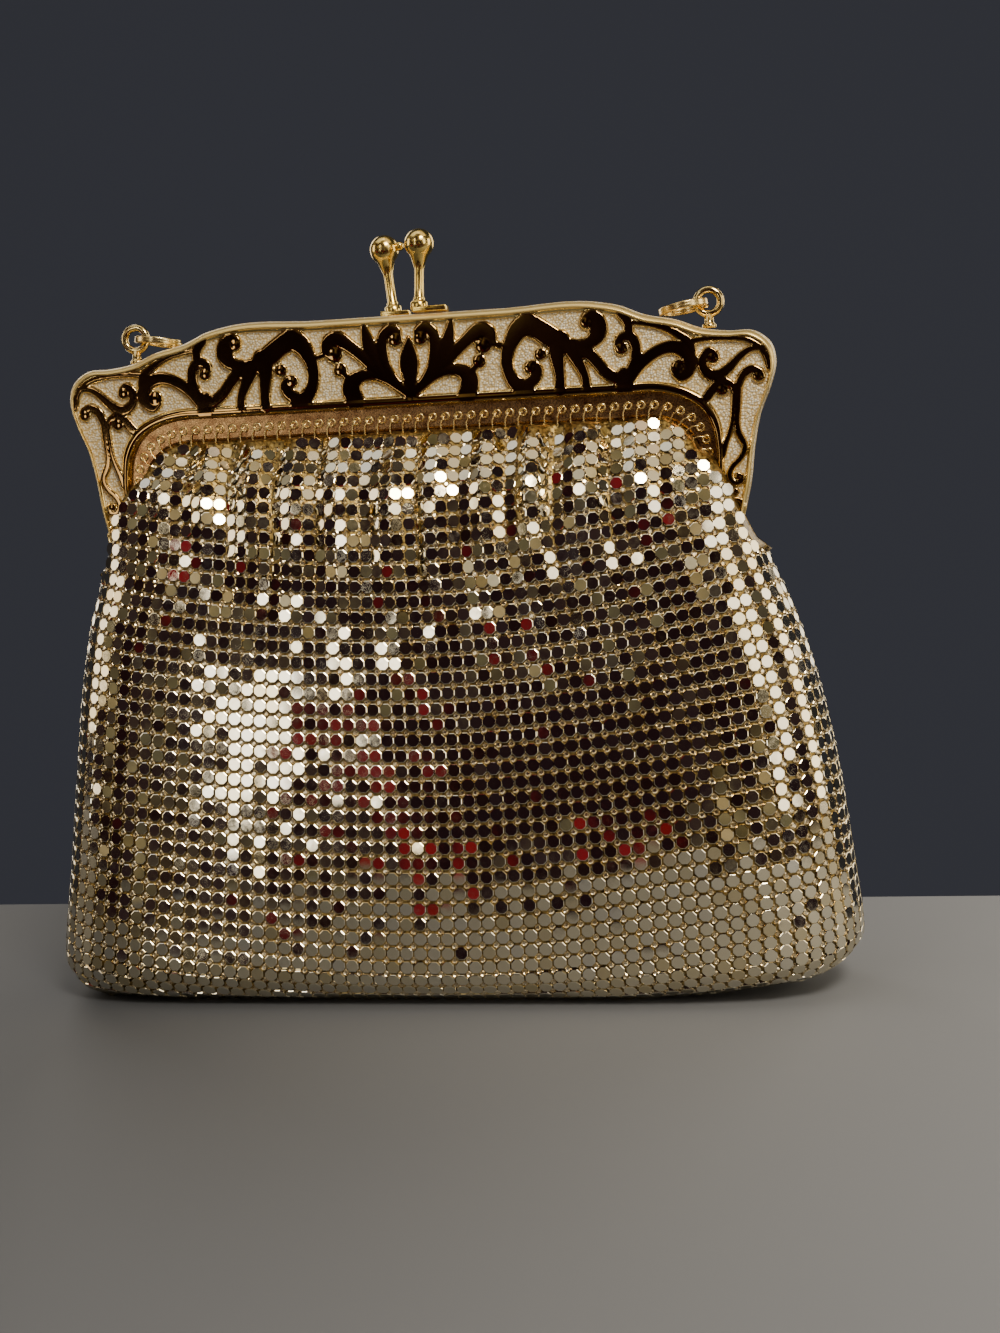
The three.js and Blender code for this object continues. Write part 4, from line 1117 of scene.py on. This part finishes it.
@dataclass
class BagSurface:
    """The outer surface of the bag, by place round it and distance up its wall."""

    shape: FrameShape
    half_width: float
    half_depth: float
    top: float
    neck_inset: float = 4.5 * MM
    corner_power: int = 8
    fold_depth: float = 2.6 * MM
    sway: float = 3 * MM
    corner_round: float = 2.2 * MM
    corner_share: float = 0.92
    right_lift: float = 4 * MM
    lift_reach: float = 0.2
    smile: float = 8.3 * MM
    right_smile: float = 2.2 * MM
    gather: float = 0.5 * MM
    gather_period: float = 0.125
    middle_crowd: float = 0.05
    base_depth: float = field(init=False)
    wall_height: np.ndarray = field(init=False)
    wall_run: np.ndarray = field(init=False)
    round_share: np.ndarray = field(init=False)
    round_place: np.ndarray = field(init=False)
    girth: float = field(init=False)

    def __post_init__(self) -> None:
        """Measures the wall's profile and the way round the body."""
        table = np.array(BAG_SECTIONS)
        self.base_depth = self.half_depth * table[0, 2]
        self.wall_height = np.linspace(0, self.top, 600)
        depth = self.depth_at(self.wall_height)
        self.wall_run = np.concatenate([[0], np.cumsum(np.hypot(np.diff(self.wall_height), np.diff(depth)))])
        share = np.sin(np.linspace(-np.pi / 2, np.pi / 2, 2001))
        level = np.full_like(share, 0.38 * self.top)
        outline = np.stack([share * self.width_at(level), self.depth_at(level) * self.roundness(share)], axis=1)
        run = np.concatenate([[0], np.cumsum(np.linalg.norm(np.diff(outline, axis=0), axis=1))])
        self.girth = 2 * run[-1]
        self.round_share = share
        self.round_place = run / self.girth

    @classmethod
    def from_node(cls, node: str, shape: FrameShape) -> "BagSurface":
        """Reads the bag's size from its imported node."""
        low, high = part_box(node)
        return cls(shape=shape, half_width=high[0], half_depth=high[1], top=high[2])

    def width_at(self, level: np.ndarray) -> np.ndarray:
        """Half width at a height."""
        table = np.array(BAG_SECTIONS)
        neck = self.shape.half_width - self.neck_inset
        swell = smooth_curve(table[:, 0], table[:, 1], level / self.top)
        return neck + (self.half_width - neck) * swell

    def depth_at(self, level: np.ndarray) -> np.ndarray:
        """Half depth at a height."""
        table = np.array(BAG_SECTIONS)
        return self.half_depth * smooth_curve(table[:, 0], table[:, 2], level / self.top)

    def sway_at(self, level: np.ndarray) -> np.ndarray:
        """How far the bag hangs to the right at a height."""
        table = np.array(BAG_SECTIONS)
        return self.sway * smooth_curve(table[:, 0], table[:, 3], level / self.top)

    def swells(self, across: np.ndarray, level: np.ndarray) -> np.ndarray:
        """How far the broad swells push the wall outwards."""
        total = np.zeros_like(across)
        for middle, up, reach, height in np.array(SWELLS) * MM:
            away = ((across - middle) ** 2 + (level - up) ** 2) / reach ** 2
            total += height * np.exp(-0.5 * away)
        return total

    def lift(self, share: np.ndarray, up: np.ndarray) -> np.ndarray:
        """How far the lower edge stands off the floor, rounded at the corners and raised at the right."""
        corner = np.clip(np.abs(share) - self.corner_share, 0, 1) / (1 - self.corner_share)
        right = np.clip(share - 0.45, 0, 1) / 0.55
        raised = self.corner_round * corner ** 1.5 + self.right_lift * right ** 1.3
        return raised * np.clip(1 - up / self.lift_reach, 0, 1)

    def roundness(self, share: np.ndarray) -> np.ndarray:
        """How full the section is at a share of its half width."""
        return np.sqrt(np.clip(1 - np.abs(share) ** self.corner_power, 0, 1))

    def edge(self, share: np.ndarray) -> np.ndarray:
        """Height of the panel's upper edge."""
        table = self.shape.scale(MESH_EDGE)
        places = np.array(MESH_EDGE)[:, 0]
        return np.interp(np.abs(share), places, table[:, 1])

    def share_at(self, place: np.ndarray) -> tuple[np.ndarray, np.ndarray]:
        """Share of the half width and facing at a place round the bag, 0 to 1."""
        turn = np.mod(place, 1)
        front = turn < 0.5
        along = np.where(front, turn, 1 - turn)
        share = np.interp(along, self.round_place, self.round_share)
        share = share * (1 - self.middle_crowd * (1 - share * share))
        return share, np.where(front, -1.0, 1.0)

    def folds(self, share: np.ndarray, facing: np.ndarray, up: np.ndarray) -> np.ndarray:
        """How far the gathered flutes stand out."""
        place = -facing * share
        swell = np.zeros_like(place)
        for centre, width, depth, reach in FOLDS:
            away = np.clip(np.abs(place - centre) / width, 0, 1)
            swell += depth * ease(up, 1 - reach, 1 - 0.25 * reach) * 0.5 * (1 + np.cos(np.pi * away))
        fine = np.cos(2 * np.pi * place / self.gather_period) * ease(up, 0.82, 0.97) * (np.abs(place) < 0.78)
        return self.fold_depth * swell + self.gather * fine

    def rise(self, share: np.ndarray, run: np.ndarray) -> np.ndarray:
        """How much higher a row hangs towards the sides."""
        low = 1 - np.clip(run / self.wall_run[-1], 0, 1)
        return (self.smile + self.right_smile * low * (share > 0)) * np.abs(share) ** 1.9

    def point(self, place: np.ndarray, run: np.ndarray, inset: float = 0.0) -> tuple[np.ndarray, np.ndarray]:
        """Place on the surface.

        Args:
            place: way round the bag, 0 to 1 from the left side over the front.
            run: distance up the wall from the base's edge, negative on the base.
            inset: distance inwards, along Y only.

        Returns:
            Points, and the share of the half width at each.
        """
        share, facing = self.share_at(place)
        level = np.interp(run, self.wall_run, self.wall_height)
        up = level / self.top
        across = share * (self.width_at(level) - inset) + self.sway_at(level)
        swell = self.folds(share, facing, up) + self.swells(across, level)
        depth = self.depth_at(level) + np.minimum(run, 0) + swell - inset
        depth = np.maximum(depth, 0) * self.roundness(share)
        return np.stack([across, facing * depth, level + self.lift(share, up)], axis=-1), share

    def frames(self, place: np.ndarray, run: np.ndarray) -> np.ndarray:
        """Axes of the surface: round the bag, up the wall and outwards."""
        step_round = 0.4 * MM / self.girth
        step_up = 0.4 * MM
        around = self.point(place + step_round, run)[0] - self.point(place - step_round, run)[0]
        upward = self.point(place, run + step_up)[0] - self.point(place, run - step_up)[0]
        around /= np.linalg.norm(around, axis=1)[:, None]
        outward = np.cross(around, upward)
        outward /= np.linalg.norm(outward, axis=1)[:, None]
        upward = np.cross(outward, around)
        return np.stack([around, upward, outward], axis=1)


@dataclass
class PlaqueMesh:
    """The field of plaques and links that covers the bag."""

    surface: BagSurface
    pitch: float = 2.92 * MM
    plaque_width: float = 2.76 * MM
    shoulder_width: float = 2.62 * MM
    face_width: float = 2.34 * MM
    shoulder_drop: float = 0.09 * MM
    thickness: float = 0.4 * MM
    link_radius: float = 0.76 * MM
    tilt: float = 1.2
    gather_tilt: float = 2.4
    gather_turn: float = 11.0
    top_gap: float = 0.8 * MM
    hem_rise: float = 0.8 * MM
    hem_depth: float = 3.4 * MM
    seed: int = 7

    def plaque(self) -> Template:
        """An eight-sided plaque with a chamfered face, its face in the XY plane."""
        bm = bmesh.new()
        corner = 0.5 / math.cos(math.pi / 8)
        depth = self.thickness - self.shoulder_drop
        bmesh.ops.create_cone(bm, cap_ends=True, segments=8, radius1=corner * self.plaque_width,
                              radius2=corner * self.shoulder_width, depth=depth)
        bmesh.ops.rotate(bm, verts=bm.verts, cent=(0, 0, 0), matrix=Matrix.Rotation(math.pi / 8, 3, "Z"))
        bmesh.ops.translate(bm, verts=bm.verts, vec=(0, 0, -self.shoulder_drop - depth / 2))
        bm.normal_update()
        top = [face for face in bm.faces if face.normal.z > 0.9]
        bmesh.ops.inset_region(bm, faces=top, thickness=(self.shoulder_width - self.face_width) / 2,
                               depth=self.shoulder_drop)
        return Template.of(bm)

    def link(self) -> Template:
        """A small link with a dished middle."""
        bm = bmesh.new()
        bmesh.ops.create_cone(bm, cap_ends=True, segments=8, radius1=self.link_radius,
                              radius2=0.68 * self.link_radius, depth=0.26 * MM)
        bm.normal_update()
        top = [face for face in bm.faces if face.normal.z > 0.9]
        bmesh.ops.inset_region(bm, faces=top, thickness=0.2 * MM, depth=-0.16 * MM)
        bmesh.ops.translate(bm, verts=bm.verts, vec=(0, 0, -0.28 * MM))
        return Template.of(bm)

    def rows(self) -> np.ndarray:
        """Distances up the wall of the rows at the middle, closer together low down."""
        total = self.surface.wall_run[-1]
        marks = [total - self.top_gap - self.plaque_width / 2]
        while marks[-1] > -3 * self.pitch:
            share = max(0.0, marks[-1] / total)
            stretch = 0.985 + 0.1 * ease(share, 0.06, 0.24) + 0.04 * ease(share, 0.6, 0.9)
            marks.append(marks[-1] - self.pitch * stretch)
        return np.array(marks[::-1])

    def _lattice(self, shift: float) -> tuple[np.ndarray, np.ndarray]:
        """Places round the bag and runs up it for every crossing of columns and rows."""
        count = 2 * round(self.surface.girth / self.pitch / 2)
        columns = (np.arange(count) + 0.5 + shift) / count
        rows = self.rows()
        if shift:
            rows = 0.5 * (rows[1:] + rows[:-1])
        place, run = np.meshgrid(columns, rows, indexing="ij")
        share = self.surface.share_at(place)[0]
        run = run + self.surface.rise(share, run)
        return place.ravel(), run.ravel()

    def _kept(self, place: np.ndarray, run: np.ndarray, margin: float) -> np.ndarray:
        """Which crossings lie on the wall under the panel's edge."""
        points, share = self.surface.point(place, run)
        inside = run < self.surface.wall_run[-1] - margin
        return (run > 0.5 * MM) & inside & (points[:, 2] < self.surface.edge(share) - margin)

    def _tilted(self, frames: np.ndarray, place: np.ndarray, gathered: np.ndarray,
                draw: np.random.Generator) -> np.ndarray:
        """Tips each frame a little, and turns whole columns together where the mesh is gathered.

        Args:
            frames: axes round the bag, up the wall and outwards.
            place: way round the bag, which tells the columns apart.
            gathered: how strongly the mesh is gathered at each place.
            draw: source of the random turns.

        Returns:
            The tipped frames.
        """
        column = np.unique(np.round(place * 1e4), return_inverse=True)[1]
        turns = draw.normal(0, self.gather_turn, column.max() + 1)
        sideways = np.radians(draw.normal(0, 1, len(frames)) * (self.tilt + self.gather_tilt * gathered))
        sideways += np.radians(turns[column]) * gathered
        upwards = np.radians(draw.normal(0, 1, len(frames)) * (self.tilt + self.gather_tilt * gathered))
        around, upward, outward = frames[:, 0], frames[:, 1], frames[:, 2]
        out = outward + sideways[:, None] * around + upwards[:, None] * upward
        out /= np.linalg.norm(out, axis=1)[:, None]
        across = around - (around * out).sum(axis=1)[:, None] * out
        across /= np.linalg.norm(across, axis=1)[:, None]
        return np.stack([across, np.cross(out, across), out], axis=1)

    def _base_lattice(self, shift: float) -> tuple[np.ndarray, np.ndarray]:
        """Places and axes on the flat base, faces down."""
        surface = self.surface
        ground = np.zeros(1)
        width = float(surface.width_at(ground)[0])
        middle = float(surface.sway_at(ground)[0])
        across = (np.arange(-40, 40) + 0.5 + shift) * self.pitch
        depth = (np.arange(-6, 6) + 0.5 + shift) * self.pitch
        x, y = (grid.ravel() for grid in np.meshgrid(across, depth, indexing="ij"))
        share = x / width
        inside = (np.abs(share) < 0.985) & (np.abs(y) < surface.base_depth * surface.roundness(share) - 0.9 * MM)
        x, y, share = x[inside], y[inside], share[inside]
        lift = surface.lift(share, 0 * share)
        step = 0.002
        slope = (surface.lift(share + step, 0 * share) - surface.lift(share - step, 0 * share)) / (2 * step * width)
        around = np.stack([np.ones_like(x), np.zeros_like(x), slope], axis=1)
        around /= np.linalg.norm(around, axis=1)[:, None]
        upward = np.tile([0.0, -1.0, 0.0], (len(x), 1))
        outward = np.cross(around, upward)
        places = np.stack([x + middle, y, lift + 0.03 * MM], axis=1)
        return places, np.stack([around, upward, outward], axis=1)

    def build(self) -> None:
        """Makes and places the plaques, links and the layer of folded arms."""
        draw = np.random.default_rng(self.seed)
        plaque_finish = PLAQUE_FINISH.build()
        link_finish = LINK_FINISH.build()
        arms = Piece("folded_arms", self.folded_arms(), ARMS_AND_GAP_SHADE_FINISH.build(), Slot.MESH, ("mesh_bag",)).place()
        solid = arms.modifiers.new("metal", "SOLIDIFY")
        solid.thickness = 0.5 * MM
        solid.offset = -1
        place, run = self._lattice(0)
        kept = self._kept(place, run, 0.9 * MM)
        self._field("plaques", self.plaque(), place[kept], run[kept], draw, plaque_finish)
        place, run = self._lattice(0.5)
        kept = self._kept(place, run, 0.7 * MM)
        self._field("links", self.link(), place[kept], run[kept], draw, link_finish)
        for name, template, shift, finish in (("base_plaques", self.plaque(), 0.0, plaque_finish),
                                              ("base_links", self.link(), 0.5, link_finish)):
            places, frames = self._base_lattice(shift)
            tone = draw.uniform(0, 1, len(places))
            mesh = template.array(name, places, frames, {"tone": tone})
            Piece(name, mesh, finish, Slot.MESH, smooth=False).place()

    def _field(self, name: str, template: Template, place: np.ndarray, run: np.ndarray,
               draw: np.random.Generator, finish: bpy.types.Material) -> None:
        """Sets one template at every place, front and back as two pieces."""
        points, share = self.surface.point(place, run)
        frames = self.surface.frames(place, run)
        up = points[:, 2] / self.surface.top
        gathered = ease(up, 0.5, 0.9) * (1 - ease(np.abs(share), 0.75, 0.9))
        frames = self._tilted(frames, place, gathered, draw)
        reach = 0.5 * self.plaque_width * np.abs(frames[:, 1, 2]) + self.thickness * np.abs(frames[:, 2, 2])
        points[:, 2] = np.maximum(points[:, 2], reach)
        tone = draw.uniform(0, 1, len(points))
        front = np.mod(place, 1) < 0.5
        for label, chosen in (("front", front), ("back", ~front)):
            mesh = template.array(f"{name}_{label}", points[chosen], frames[chosen], {"tone": tone[chosen]})
            Piece(f"{name}_{label}", mesh, finish, Slot.MESH, smooth=False).place()

    def folded_arms(self) -> bpy.types.Mesh:
        """The closed layer under the plaques, from the middle of the base to the panel's edge."""
        surface = self.surface
        count = 2 * round(surface.girth / self.pitch / 2)
        columns = np.linspace(0, 1, 3 * count + 1)
        share = surface.share_at(columns)[0]
        tops = np.interp(surface.edge(share) - 0.4 * MM, surface.wall_height, surface.wall_run)
        base = np.linspace(-surface.base_depth, 0, 6)[:-1]
        climb = np.linspace(0, 1, 46)
        run = np.concatenate([np.tile(base, (len(columns), 1)), climb[None] * tops[:, None]], axis=1)
        place = np.tile(columns[:, None], (1, run.shape[1]))
        inset = 0.42 * MM
        points, _ = surface.point(place.ravel(), run.ravel(), inset)
        points = points.reshape(*run.shape, 3)
        points[:, :, 2] += inset * np.clip(1 - points[:, :, 2] / (4 * MM), 0, 1)
        hem = points[:, -1:] + np.array([0, 0, self.hem_rise])
        hem[:, 0, 0] += np.sign(share) * self.hem_rise * ease(np.abs(share), 0.72, 0.8)
        hem[:, :, 1] = np.clip(hem[:, :, 1], -self.hem_depth, self.hem_depth)
        points = np.concatenate([points, hem], axis=1)
        uv = np.dstack([place * count, run / self.pitch])
        uv = np.concatenate([uv, uv[:, -1:] + np.array([0, self.hem_rise / self.pitch])], axis=1)
        mesh = bent_grid("folded_arms", points, merge=False, uv=uv)
        bm = bmesh.new()
        bm.from_mesh(mesh)
        bmesh.ops.remove_doubles(bm, verts=bm.verts, dist=1e-6)
        bpy.data.meshes.remove(mesh)
        return mesh_from(bm, "folded_arms")


# Studio


@dataclass
class Studio:
    """Floor with a painted shade gradient across it, soft lights and the camera."""

    focal_length: float = 45.91
    location: tuple[float, float, float] = (75.12 * MM, -358.45 * MM, 100.79 * MM)
    right: tuple[float, float, float] = (0.9861, 0.1599, -0.0460)
    up: tuple[float, float, float] = (0.0313, 0.0935, 0.9951)
    back: tuple[float, float, float] = (0.1634, -0.9827, 0.0872)
    floor_size: tuple[float, float, float] = (1.4, -0.18, 0.078)

    def build(self) -> None:
        """Sets up everything that isn't the purse."""
        self._floor()
        self._world()
        self._camera()
        self._soft_light("key", (0.36, -0.58, 0.74), (0.28, 0.24), 30.0, "FFF6E6")
        self._soft_light("overhead_left", (-0.3, -0.12, 1.0), (0.5, 0.8), 1.0, "FBFAFA")
        self._soft_light("overhead_right", (0.3, -0.12, 1.0), (0.5, 0.8), 0.85, "FFEFD2")
        self._soft_light("left_window", (-0.34, -0.80, 0.08), (0.1, 0.16), 3.7, "FFFAF2")
        self._soft_light("left_window_top", (-0.34, -0.80, 0.48), (0.1, 0.36), 3.7, "FFFAF2")
        self._soft_light("right_window", (0.78, -0.60, 0.32), (0.26, 0.6), 2.6, "FFF6E6")
        self._soft_light("left_side", (-1.0, -0.1, 0.35), (0.36, 0.6), 2.2, "FFF1DC")
        self._soft_light("right_side", (1.0, 0.1, 0.3), (0.4, 0.6), 3.0, "FFF0D4")
        self._soft_light("back_left", (-0.6, 0.8, 0.42), (0.45, 0.7), 2.4, "FFF8EC")
        self._soft_light("back_right", (0.55, 0.85, 0.42), (0.5, 0.7), 2.2, "FFF6E6")

    def _floor(self) -> None:
        """A floor darker to the left and paler to the right: painted shade standing in for the light falling off
        across it.
        """
        bm = bmesh.new()
        corners = bmesh.ops.create_grid(bm, x_segments=1, y_segments=1, size=1)["verts"]
        width, front, back = self.floor_size
        for corner in corners:
            corner.co = Vector((width * corner.co.x, back if corner.co.y > 0 else front, 0))
        floor = bpy.data.objects.new("floor", mesh_from(bm, "floor"))
        material = bpy.data.materials.new("floor_painted_falloff")
        material.use_nodes = True
        shader = material.node_tree.nodes["Principled BSDF"]
        place = add_node(material.node_tree, "ShaderNodeTexCoord").outputs["Object"]
        across = add_node(material.node_tree, "ShaderNodeSeparateXYZ", inputs={0: place}).outputs["X"]
        share = spread(material.node_tree, across, 0.0, 1.0, -0.07, 0.24)
        # Painted shade: the floor's colour runs from dark at the left to pale at the right.
        pale = ramp(material.node_tree, share, ((0.0, "4A4C50"), (1.0, "A3A5A9")))
        material.node_tree.links.new(pale, shader.inputs["Base Color"])
        shader.inputs["Roughness"].default_value = 0.7
        floor.data.materials.append(material)
        bpy.context.scene.collection.objects.link(floor)

    def _world(self) -> None:
        """A dim room: cool and dark behind the purse, warm and patchy where only the metal mirrors it."""
        world = bpy.data.worlds.new("dim_room")
        world.use_nodes = True
        tree = world.node_tree
        direction = add_node(tree, "ShaderNodeTexCoord").outputs["Generated"]
        depth = add_node(tree, "ShaderNodeSeparateXYZ", inputs={0: direction}).outputs["Y"]
        behind = spread(tree, depth, 0.0, 1.0, -0.25, 0.35)
        patches = add_node(tree, "ShaderNodeTexNoise", inputs={
            "Vector": direction, "Scale": 4.5, "Detail": 1.0, "Roughness": 0.4}).outputs["Fac"]
        room = ramp(tree, patches, ((0.28, "7A1A22"), (0.34, "1E0F13"), (0.47, "20141A"), (0.55, "33262A"),
                                    (0.61, "6A6650"), (0.67, "B4A07A"), (0.74, "D8D0BC")))
        wall = ramp(tree, depth, ((0.0, "2A2A2E"), (1.0, "35363C")))
        seen = add_node(tree, "ShaderNodeLightPath").outputs["Is Camera Ray"]
        backdrop = add_node(tree, "ShaderNodeMath", {"operation": "MAXIMUM"}, {0: behind, 1: seen}).outputs[0]
        mix = add_node(tree, "ShaderNodeMix", {"data_type": "RGBA"}, {0: backdrop, 6: room, 7: wall})
        background = tree.nodes["Background"]
        tree.links.new(mix.outputs[2], background.inputs["Color"])
        background.inputs["Strength"].default_value = 1.0
        bpy.context.scene.world = world

    def _camera(self) -> None:
        """The camera at the photograph's angle."""
        data = bpy.data.cameras.new("camera")
        data.lens = self.focal_length
        data.sensor_width = 36.0
        data.sensor_fit = "AUTO"
        data.clip_start = 0.01
        camera = bpy.data.objects.new("camera", data)
        turned = Matrix((self.right, self.up, self.back)).transposed()
        camera.matrix_world = Matrix.Translation(self.location) @ turned.to_4x4()
        bpy.context.scene.collection.objects.link(camera)
        bpy.context.scene.camera = camera

    def _soft_light(self, name: str, place: tuple[float, float, float], size: tuple[float, float],
                    radiance: float, colour: str) -> None:
        """A rectangular soft light aimed at the purse, with the brightness that its surface shows."""
        data = bpy.data.lights.new(name, "AREA")
        data.shape = "RECTANGLE"
        data.size, data.size_y = size
        data.energy = math.pi * size[0] * size[1] * radiance
        data.color = linear_colour(colour)[:3]
        light = bpy.data.objects.new(name, data)
        aim = Vector((0, 0, 0.08)) - Vector(place)
        light.visible_camera = False
        light.matrix_world = Matrix.Translation(place) @ aim.to_track_quat("-Z", "Y").to_matrix().to_4x4()
        bpy.context.scene.collection.objects.link(light)


def main() -> None:
    """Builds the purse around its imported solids."""
    logging.basicConfig(level=logging.INFO, format="%(name)s %(message)s")
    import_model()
    shape = FrameShape.from_node("frame_front")
    FrameHalf(Facing.FRONT, shape, stations=1000, ground_steps=50).build()
    FrameHalf(Facing.BACK, shape, stations=480, ground_steps=26).build()
    knob_finish = KNOB_FINISH.build()
    ClaspKnob("knob_front", 2.2 * MM, 0.7 * MM, Facing.FRONT, nib=False).build(knob_finish)
    ClaspKnob("knob_back", -4.3 * MM, -1.4 * MM, Facing.BACK, nib=True).build(knob_finish)
    casting = bpy.data.materials[CASTING_FINISH.name]
    wire = bpy.data.materials[WIRE_FINISH.name]
    ShoulderFitting("left", -1).build(casting, wire)
    ShoulderFitting("right", 1).build(casting, wire)
    hinge_rivets(wire)
    PlaqueMesh(BagSurface.from_node("mesh_bag", shape)).build()
    Studio().build()


if __name__ == "__main__":
    main()
